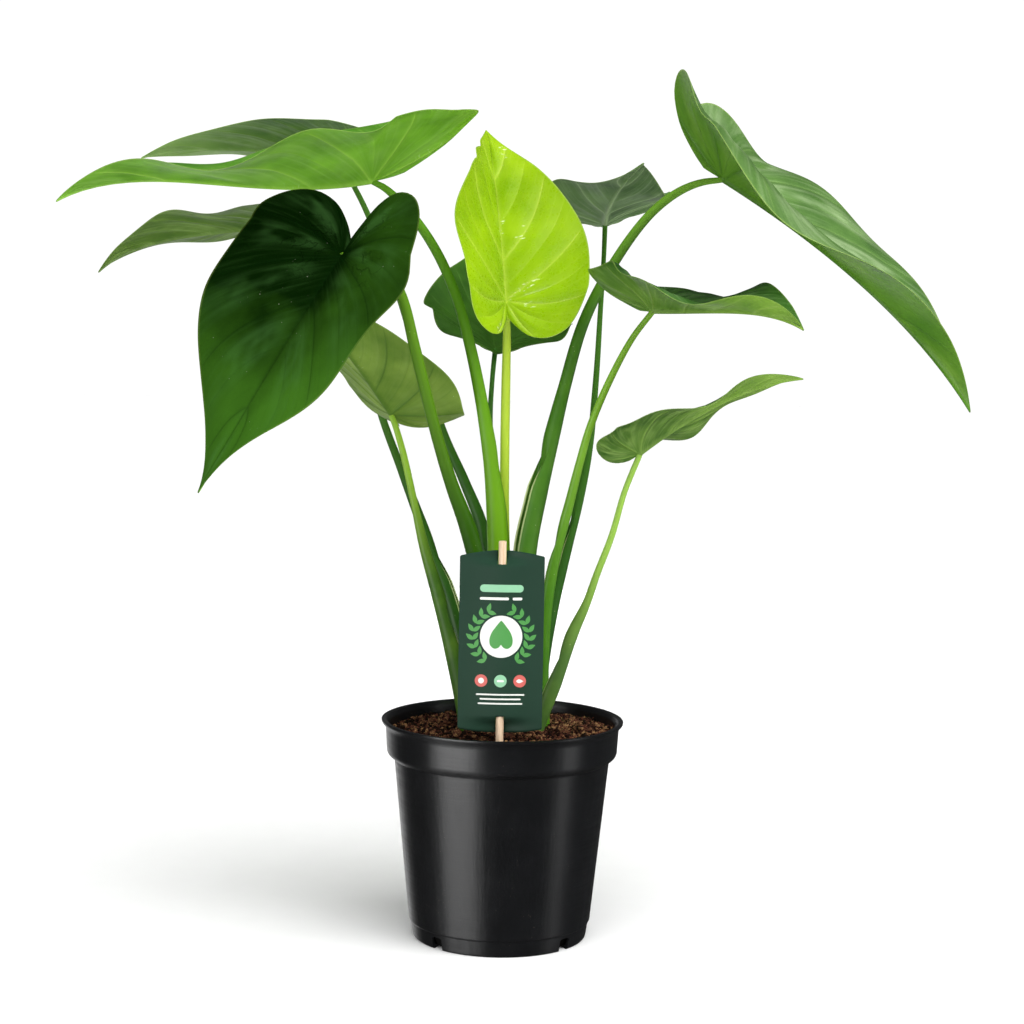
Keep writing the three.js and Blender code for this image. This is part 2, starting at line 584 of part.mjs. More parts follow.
const plant = new THREE.Group();
const stemHoles = LEAVES.map((leaf) => solidOf(makeStem(leaf, { grow: GAP, grooved: false })));
plant.add(makePot());
plant.add(makeSoil([...stemHoles, solidOf(stickGeometry(GAP))]));
plant.add(makeCard());
plant.add(piece("label_stick", stickGeometry(0), COLOURS.stick, 0.6));
for (const leaf of LEAVES) {
  plant.add(piece(`blade_${leaf.name}`, makeBlade(leaf), leaf.colour, 0.4));
  plant.add(piece(`stem_${leaf.name}`, makeStem(leaf), leaf.stemColour, 0.45));
}

export default plant;
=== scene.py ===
# %% [markdown]
# # A potted chinese taro, dressed in Blender
#
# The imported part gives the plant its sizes: a 21 cm nursery pot with its soil, a card on a
# stick, and eleven heart-shaped leaves on long stems. This lesson puts a finer piece in the
# place of each plain solid and gives every surface its own finish. The frame is loaded first,
# and its box is kept, because the dressed plant has to stay inside it.

# %% Load the frame
import math

import bmesh
import bpy
import numpy as np
from mathutils import Matrix, Vector, noise


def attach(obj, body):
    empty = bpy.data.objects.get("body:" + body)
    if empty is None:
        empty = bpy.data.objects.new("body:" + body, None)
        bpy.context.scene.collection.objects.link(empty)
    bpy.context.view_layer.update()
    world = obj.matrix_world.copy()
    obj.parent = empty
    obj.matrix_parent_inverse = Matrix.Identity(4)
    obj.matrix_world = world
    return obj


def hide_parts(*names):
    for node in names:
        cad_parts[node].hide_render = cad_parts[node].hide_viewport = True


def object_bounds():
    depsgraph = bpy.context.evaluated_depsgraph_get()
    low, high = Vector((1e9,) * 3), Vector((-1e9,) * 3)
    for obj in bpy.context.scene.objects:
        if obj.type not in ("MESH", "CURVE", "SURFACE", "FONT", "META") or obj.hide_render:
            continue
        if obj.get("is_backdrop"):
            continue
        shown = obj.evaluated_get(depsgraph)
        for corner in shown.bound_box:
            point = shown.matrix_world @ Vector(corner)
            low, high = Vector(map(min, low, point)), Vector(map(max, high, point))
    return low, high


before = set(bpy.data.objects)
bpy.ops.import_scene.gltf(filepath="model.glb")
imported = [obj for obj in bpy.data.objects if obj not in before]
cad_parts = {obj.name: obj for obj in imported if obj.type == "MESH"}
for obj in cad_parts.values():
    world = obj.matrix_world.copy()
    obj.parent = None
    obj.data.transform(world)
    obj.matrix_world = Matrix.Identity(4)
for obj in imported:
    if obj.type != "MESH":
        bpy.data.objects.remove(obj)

BODY = "root"
cad_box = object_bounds()
print("solids in the frame:", len(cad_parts))

# %% [markdown]
# ## The camera and the light
#
# A camera can be aimed by eye or worked out. Here it is worked out, so that the leaves overlap
# as they do from the photographer's place: level with the middle of the plant, 1.8 m in front
# of it, tipped a little down. The lens follows from how large the pot's rim appears.

# %% Place the camera
def new_object(name, data):
    """Puts a mesh, a light or a camera into the scene."""
    made = bpy.data.objects.new(name, data)
    bpy.context.collection.objects.link(made)
    return made


CAMERA_PLACE = (0.0052, -1.8, 0.526)
CAMERA_DOWN = 4.95
CAMERA_ROLL = 1.0
FOCAL_PIXELS = 2097
PICTURE_PIXELS = 1024
SENSOR_WIDTH = 36.0

camera_data = bpy.data.cameras.new("camera")
camera_data.sensor_width = SENSOR_WIDTH
camera_data.lens = SENSOR_WIDTH * FOCAL_PIXELS / PICTURE_PIXELS
camera = new_object("camera", camera_data)
camera.matrix_world = (
    Matrix.Translation(CAMERA_PLACE)
    @ Matrix.Rotation(math.radians(90 - CAMERA_DOWN), 4, "X")
    @ Matrix.Rotation(math.radians(CAMERA_ROLL), 4, "Z")
)
bpy.context.scene.camera = camera
print("lens:", round(camera_data.lens, 1), "mm")

# %% [markdown]
# Three broad soft boxes light the leaves. One box could light the floor as well, but it would
# leave the far floor grey, so a very soft sun lights floor and leaves evenly. All four are kept
# out of the reflections, where such large lights would make every leaf look milky. A glossy pot
# shows its lights as upright streaks. A wall turned by an angle mirrors what lies at twice that
# angle, so two low boxes are placed from the streaks that the pot should show: a wide one at
# the left for the bright streak and a weak one at the right for the faint one. They show only
# in reflections.

# %% Hang the lights
def colour(red, green, blue):
    """A screen colour from 0 to 255, as the values that light and shaders work with."""
    parts = [value / 255 for value in (red, green, blue)]
    return (*[p / 12.92 if p < 0.04045 else ((p + 0.055) / 1.055) ** 2.4 for p in parts], 1.0)


PLANT_MIDDLE = Vector((0, 0, 0.4))


def hang(name, light, turn, rise, distance):
    """Hangs a light round the plant: turn 0 is at the camera, 90 at the right."""
    lamp = new_object(name, light)
    azimuth, height = math.radians(turn), math.radians(rise)
    back = Vector((
        math.sin(azimuth) * math.cos(height),
        -math.cos(azimuth) * math.cos(height),
        math.sin(height),
    ))
    lamp.location = PLANT_MIDDLE + back * distance
    lamp.rotation_euler = back.to_track_quat("Z", "Y").to_euler()
    lamp.visible_camera = False
    return lamp


def soft_box(name, turn, rise, distance, size, power):
    light = bpy.data.lights.new(name, "AREA")
    light.shape = "RECTANGLE"
    light.size, light.size_y = size
    light.energy = power
    return hang(name, light, turn, rise, distance)


# Each box: turn, rise, distance, (width, height), power.
SOFT_BOXES = {
    "key": (-43, 14, 2.1, (2.0, 1.4), 13),
    "side": (62, 20, 2.1, (1.8, 1.4), 22),
    "backdrop": (180, 6, 2.4, (4.0, 1.7), 22),
}
STREAK_BOXES = {
    "band_left": (-45, -7.5, 1.6, (1.2, 0.36), 26),
    "band_right": (68, -7.5, 1.6, (0.42, 0.36), 3.2),
}
SUN_POWER, SUN_SPREAD = 4.0, 75
SUN_TURN, SUN_RISE, SUN_DISTANCE = 25, 58, 3.0
sun_light = bpy.data.lights.new("soft_sun", "SUN")
sun_light.energy = SUN_POWER
sun_light.angle = math.radians(SUN_SPREAD)
hang("soft_sun", sun_light, SUN_TURN, SUN_RISE, SUN_DISTANCE).visible_glossy = False
for name, values in SOFT_BOXES.items():
    soft_box(name, *values).visible_glossy = False
for name, values in STREAK_BOXES.items():
    soft_box(name, *values).visible_diffuse = False

# %% [markdown]
# The backdrop of the photograph is plain white. The floor is one wide pale disc, marked as
# stage so that it is no part of the plant, and left out of the reflections too, so that the
# pot stays black. The world is white where the camera sees it, and much dimmer as a light. In
# reflections it is dark but for one pale spot, low down behind the plant at the left. That
# spot stands for the lit floor there and draws the pale line along the pot's left edge.

# %% Lay the floor and light the world
def node(tree, kind, inputs=None, **settings):
    """Adds a node. Its inputs take numbers or fields, by name or by place."""
    made = tree.nodes.new(kind)
    for name, value in settings.items():
        setattr(made, name, value)
    for key, value in (inputs or {}).items():
        if isinstance(value, Field):
            tree.links.new(value.socket, made.inputs[key])
        else:
            made.inputs[key].default_value = value
    return made


class Field:
    """An output of a node that takes part in sums, so that a formula reads as one."""

    def __init__(self, made, output=0):
        self.tree = made.id_data
        self.socket = made.outputs[output]

    def apply(self, operation, *values, turned=False, output=0):
        values = (*values, self) if turned else (self, *values)
        kind = "ShaderNodeVectorMath" if self.socket.type in ("VECTOR", "RGBA") else "ShaderNodeMath"
        return Field(node(self.tree, kind, dict(enumerate(values)), operation=operation), output)

    def into(self, kind, inputs=None, output=0, **settings):
        """Sends this geometry into a Geometry Nodes node."""
        return Field(node(self.tree, "GeometryNode" + kind, {0: self, **(inputs or {})}, **settings), output)

    def part(self, axis):
        return Field(node(self.tree, "ShaderNodeSeparateXYZ", {0: self}), axis)

    def __add__(self, other):
        return self.apply("ADD", other)

    def __sub__(self, other):
        return self.apply("SUBTRACT", other)

    def __rsub__(self, other):
        return self.apply("SUBTRACT", other, turned=True)

    def __mul__(self, other):
        if self.socket.type != "VECTOR":
            return self.apply("MULTIPLY", other)
        return Field(node(self.tree, "ShaderNodeVectorMath", {0: self, "Scale": other}, operation="SCALE"))

    def __truediv__(self, other):
        return self.apply("DIVIDE", other)

    def __pow__(self, other):
        return self.apply("POWER", other)

    __radd__ = __add__
    __rmul__ = __mul__


def step(value, low, high, start=0.0, end=1.0):
    """A soft step from start to end while the value goes from low to high."""
    inputs = {"Value": value, "From Min": low, "From Max": high, "To Min": start, "To Max": end}
    return Field(node(value.tree, "ShaderNodeMapRange", inputs, interpolation_type="SMOOTHSTEP"))


world = bpy.data.worlds.new("studio")
world.use_nodes = True
world.node_tree.nodes.clear()
ray = node(world.node_tree, "ShaderNodeLightPath")
BACKDROP_GLOW = 1.05
ROOM_GLOW = 0.16
MIRRORED_GLOW = 0.06
FLOOR_SPOT = (-0.26, 0.93, -0.26)
FLOOR_SPOT_EDGE = (0.9, 0.97)
FLOOR_SPOT_GLOW = 1.1
direction = Field(node(world.node_tree, "ShaderNodeTexCoord"), "Generated")
towards_spot = direction.apply("DOT_PRODUCT", FLOOR_SPOT, output="Value")
spot_glow = step(towards_spot, *FLOOR_SPOT_EDGE, 0.0, FLOOR_SPOT_GLOW)
glow = (
    Field(ray, "Is Camera Ray") * (BACKDROP_GLOW - ROOM_GLOW)
    + Field(ray, "Is Glossy Ray") * (spot_glow + (MIRRORED_GLOW - ROOM_GLOW))
    + ROOM_GLOW
)
backdrop = node(world.node_tree, "ShaderNodeBackground", {"Color": (1, 1, 1, 1), "Strength": glow})
node(world.node_tree, "ShaderNodeOutputWorld", {"Surface": Field(backdrop)})
bpy.context.scene.world = world
bpy.context.scene.view_settings.view_transform = "Standard"


def mesh_of(name, shape):
    """A shape from bmesh as a mesh."""
    mesh = bpy.data.meshes.new(name)
    shape.to_mesh(mesh)
    shape.free()
    return mesh


FLOOR_RADIUS, FLOOR_SIDES = 14, 64
FLOOR_BUMP = 0.0002
disc = bmesh.new()
bmesh.ops.create_circle(disc, cap_ends=True, segments=FLOOR_SIDES, radius=FLOOR_RADIUS)
floor = new_object("floor", mesh_of("floor", disc))
floor.visible_glossy = False
floor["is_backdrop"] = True

# %% [markdown]
# ## Finishes
#
# Every finish here is made of nodes. What several finishes share, such as the tissue of a
# leaf, is a node group with named inputs, built once and placed in each material with that
# leaf's own colours. The shader itself stays in the material. A group for leaves could be
# painted by noise alone, but a real leaf is marked by its veins, so this one reads attributes
# that the blade's mesh carries: how far out a point lies, and how near it is to a vein.

# %% Helpers for groups and materials
def new_group(name, kind, inputs, outputs):
    """A node group. Inputs are given as label: (socket type, value); outputs as label: type."""
    tree = bpy.data.node_groups.new(name, kind)
    for label, (socket_type, value) in inputs.items():
        socket = tree.interface.new_socket(label, in_out="INPUT", socket_type=socket_type)
        if value is not None:
            socket.default_value = value
    for label, socket_type in outputs.items():
        tree.interface.new_socket(label, in_out="OUTPUT", socket_type=socket_type)
    entry = tree.nodes.new("NodeGroupInput")
    return tree, {label: Field(entry, label) for label in inputs}


def finish_group(tree, results):
    node(tree, "NodeGroupOutput", results)


def blend(factor, first, second):
    """A colour between two colours."""
    return Field(node(factor.tree, "ShaderNodeMix", {0: factor, 6: first, 7: second}, data_type="RGBA"), 2)


def cloud(place, scale, detail=3.0, roughness=0.5, output=0):
    inputs = {"Vector": place, "Scale": scale, "Detail": detail, "Roughness": roughness}
    return Field(node(place.tree, "ShaderNodeTexNoise", inputs), output)


def cells(place, scale, feature="F1"):
    made = node(place.tree, "ShaderNodeTexVoronoi", {"Vector": place, "Scale": scale}, feature=feature)
    return Field(made, "Distance")


def stretched(place, scale):
    """A place on the piece with its own scale along each axis."""
    return place.apply("MULTIPLY", scale)


def vector(tree, x=0.0, y=0.0, z=0.0):
    return Field(node(tree, "ShaderNodeCombineXYZ", {0: x, 1: y, 2: z}))


def object_place(tree):
    """Where a point lies on its piece, in metres."""
    return Field(node(tree, "ShaderNodeTexCoord"), "Object")


def painted(tree, name, output="Fac"):
    """An attribute that the mesh carries."""
    return Field(node(tree, "ShaderNodeAttribute", attribute_name=name), output)


def new_material(name, group, values, bump, specular=0.5, **surface):
    """A material whose group gives colour, roughness and height to one Principled shader."""
    material = bpy.data.materials.new(name)
    material.use_nodes = True
    tree = material.node_tree
    tree.nodes.clear()
    effect = node(tree, "ShaderNodeGroup", node_tree=group)
    for label, value in values.items():
        effect.inputs[label].default_value = value
    relief = node(tree, "ShaderNodeBump", {"Height": Field(effect, "Height"), "Distance": bump})
    shader = node(tree, "ShaderNodeBsdfPrincipled", {
        "Base Color": Field(effect, "Color"), "Roughness": Field(effect, "Roughness"),
        "Normal": Field(relief), "Specular IOR Level": specular, **surface,
    })
    node(tree, "ShaderNodeOutputMaterial", {"Surface": Field(shader)})
    return material


COLOUR, NUMBER = "NodeSocketColor", "NodeSocketFloat"
FINISH = {"Color": COLOUR, "Roughness": NUMBER, "Height": NUMBER}

# %% [markdown]
# The floor shows first how a group is used. Even white paper is never one flat tone. A single
# colour would do in a picture this bright, but noise that moves the tone and the roughness a
# little is cheap and keeps the floor from looking like a blank.

# %% The plain floor
tree, _ = new_group("floor paper", "ShaderNodeTree", {}, FINISH)
place = object_place(tree)
grain = cloud(place, 30.0)
finish_group(tree, {
    "Color": blend(grain, (0.89, 0.89, 0.89, 1), (0.92, 0.92, 0.92, 1)),
    "Roughness": grain * 0.1 + 0.75, "Height": grain,
})
floor.data.materials.append(new_material("floor", tree, {}, FLOOR_BUMP))

# %% [markdown]
# A leaf's green is deepest between the veins and paler beside them. Its rim is a thin pale
# line. Between the main veins run thin side veins, and a fine net lies between those. The net
# follows a flat map of the blade in metres. The side veins follow its main veins, and fade out
# where these come together. The group gives soft rolls, creases and the side veins as height
# too, and the net makes the gloss uneven. Light and shade are painted into the colour as well:
# a painted sheen in bands and streaks between the veins, painted glints near them, painted
# shade in the creases by the joint, and painted light that makes a blade lighter or darker
# towards its tip and lighter on its left half.

# %% The tissue of a leaf
# Sheen is the colour of a painted highlight. Streaks and Sheen Show set how much painted sheen a leaf shows,
# and Glints its painted glints. Tip Light and Left Light paint light and shade across the blade, and Puckers
# also paints shade into the creases.
LEAF_LOOK = {
    "Deep": (COLOUR, (0.01, 0.05, 0.01, 1)), "Bright": (COLOUR, (0.05, 0.2, 0.03, 1)),
    "Vein": (COLOUR, (0.2, 0.4, 0.1, 1)), "Rim": (COLOUR, (0.4, 0.6, 0.2, 1)),
    "Painted Sheen": (COLOUR, (0.3, 0.5, 0.25, 1)),
    "Vein Show": (NUMBER, 0.5), "Halo Show": (NUMBER, 0.3), "Rim Show": (NUMBER, 0.5),
    "Painted Sheen Show": (NUMBER, 0.3), "Tip Painted Light": (NUMBER, 0.5), "Mottle": (NUMBER, 0.5),
    "Streaks": (NUMBER, 0.2), "Painted Glints": (NUMBER, 0.0), "Puckers": (NUMBER, 0.0),
    "Specks": (NUMBER, 0.2), "Left Painted Light": (NUMBER, 0.0), "Matt": (NUMBER, 0.35),
}
tree, look = new_group("leaf tissue", "ShaderNodeTree", LEAF_LOOK, FINISH)
flat = Field(node(tree, "ShaderNodeUVMap", uv_map="flat"))
vein, halo, across, along, run = (
    painted(tree, name) for name in ("vein", "halo", "across", "along", "run"))
broad = cloud(flat, 22.0, 3.0, 0.5)
rolling = cloud(flat, 24.0, 1.0, 0.4)
fine = cloud(flat, 240.0, 1.0, 0.5)
net = step(cells(flat, 300.0, "DISTANCE_TO_EDGE"), 0.0, 0.16, 1.0, 0.0)
along_veins = vector(tree, run * 5.0, across * 1.5, along)
room = step(painted(tree, "gap"), 0.0015, 0.0075)
# Painted sheen: pale streaks along the veins stand in for gloss on the quilted tissue.
painted_sheen_streak = step(cloud(along_veins, 1.0, 3.0, 0.6), 0.45, 0.75) * room
# Painted sheen: a pale band on one side of each panel between strong veins stands in for the light that the
# bulging tissue catches.
phase = (run * 0.5 + 0.5).apply("FRACT")
painted_sheen_band = step(phase, 0.06, 0.34) * step(phase, 0.36, 0.8, 1.0, 0.0)
painted_sheen_band = painted_sheen_band * step(across, 0.02, 0.35) * step(across, 0.7, 1.0, 1.0, 0.2)
painted_sheen_band = painted_sheen_band * step(cloud(stretched(along_veins, (0.25, 1.6, 2.0)), 1.0, 2.0), 0.36, 0.6) * room
near_joint = step(along, 0.02, 0.24, 1.0, 0.0) * step(across, 0.06, 0.2)
near_joint = near_joint * step(across, 0.45, 0.8, 1.0, 0.0)
wrinkle = cloud(flat, 70.0, 2.0) - 0.5
crease = step(wrinkle * wrinkle, 0.0, 0.0012, 1.0, 0.0)
crease = crease * near_joint * step(broad, 0.47, 0.56) * look["Puckers"]
# Painted glints: small white highlights near the veins.
painted_glint = step(cloud(stretched(flat, (420.0, 150.0, 1.0)), 1.0, 2.0), 0.58, 0.68)
painted_glint = painted_glint * step(broad, 0.54, 0.66) * step(halo, 0.1, 0.5) * look["Painted Glints"]
side = (run * (3 * math.pi)).apply("SINE")
side_veins = step(side * side, 0.0, 0.12, 1.0, 0.0) * step(across, 0.1, 0.35) * room
speck = step(cells(flat, 150.0), 0.03, 0.07, 1.0, 0.0) * step(broad, 0.5, 0.62)
# Painted light: the blade is made lighter or darker towards its tip, and lighter on its left half and darker
# on its right.
paler = (step(along, 0.12, 0.8) - 0.5) * look["Tip Painted Light"]
paler = paler + (step(flat.part("Y"), -0.02, 0.05) - 0.3) * look["Left Painted Light"]
light = (broad - 0.5) * look["Mottle"] * 2.2 + paler + 0.5
green = blend(light, look["Deep"], look["Bright"])
green = blend(halo * look["Halo Show"], green, look["Vein"])
green = blend(painted_sheen_streak * look["Streaks"], green, look["Painted Sheen"])
green = blend(painted_sheen_band * look["Painted Sheen Show"], green, look["Painted Sheen"])
# Painted shade in the creases near the joint.
green = blend(crease * 0.45, green, look["Deep"])
green = blend(side_veins * look["Vein Show"] * 0.16, green, look["Vein"])
green = blend(net * look["Vein Show"] * 0.07, green, look["Vein"])
green = blend(vein * look["Vein Show"], green, look["Vein"])
green = blend(step(across, 0.982, 0.994) * look["Rim Show"], green, look["Rim"])
green = blend(speck * look["Specks"], green, (0.75, 0.8, 0.6, 1))
green = blend(painted_glint, green, (0.86, 0.93, 0.6, 1))
finish_group(tree, {
    "Color": green,
    "Roughness": look["Matt"] + (fine - 0.5) * 0.16 + net * 0.05 + (broad - 0.5) * 0.12 - painted_glint * 0.1,
    "Height": (fine - 0.5) * 0.05 - side_veins * look["Vein Show"] * 0.2 + rolling * 1.6 - crease * 1.6,
})
leaf_tissue = tree
print("leaf tissue nodes:", len(tree.nodes))

# %% [markdown]
# A stem is smooth and waxy, with fine lengthwise streaks. It is paler near the blade and
# darker near the soil, and where it opens into a sheath its thin edges dry out to a pale line.
# One noise could colour it all, but those changes follow the stem's shape, so the group reads
# each point's height and how near it lies to a sheath's edge.

# %% The skin of a stem
STEM_LOOK = {
    "Upper": (COLOUR, (0.2, 0.5, 0.1, 1)), "Lower": (COLOUR, (0.05, 0.2, 0.03, 1)),
    "Edge": (COLOUR, (0.7, 0.75, 0.5, 1)), "Low": (NUMBER, 0.2), "High": (NUMBER, 0.6),
}
tree, look = new_group("stem skin", "ShaderNodeTree", STEM_LOOK, FINISH)
place = object_place(tree)
height = painted(tree, "height")
margin = painted(tree, "margin")
streaks = cloud(painted(tree, "around", "Vector"), 1.9, 3.0, 0.6)
patches = cloud(place, 45.0, 3.0)
specks = step(cells(place, 170.0), 0.04, 0.08, 1.0, 0.0) * step(patches, 0.52, 0.6)
skin = blend(step(height, look["Low"], look["High"]), look["Lower"], look["Upper"])
skin = blend((streaks - 0.35) * 0.5, skin, look["Lower"])
skin = blend((patches - 0.45) * 0.5, skin, look["Upper"])
skin = blend(specks * 0.4, skin, look["Edge"])
skin = blend(step(margin, 0.45, 0.8), skin, look["Edge"])
finish_group(tree, {
    "Color": skin,
    "Roughness": (streaks - 0.5) * 0.2 + margin * 0.2 + 0.44,
    "Height": streaks + patches * 0.6,
})
stem_skin = tree
print("stem skin nodes:", len(tree.nodes))

# %% [markdown]
# ## The leaves
#
# A blade could be sculpted or bent by a simulation, but eleven of them have to stand where
# the part's blades do. So each one follows one rule: a flat heart outline, whose midrib turns,
# droops and twists on the way to the tip, and whose two sides fold up from it, curl and wave.
# The values below are that rule's own, leaf by leaf, in metres and degrees.

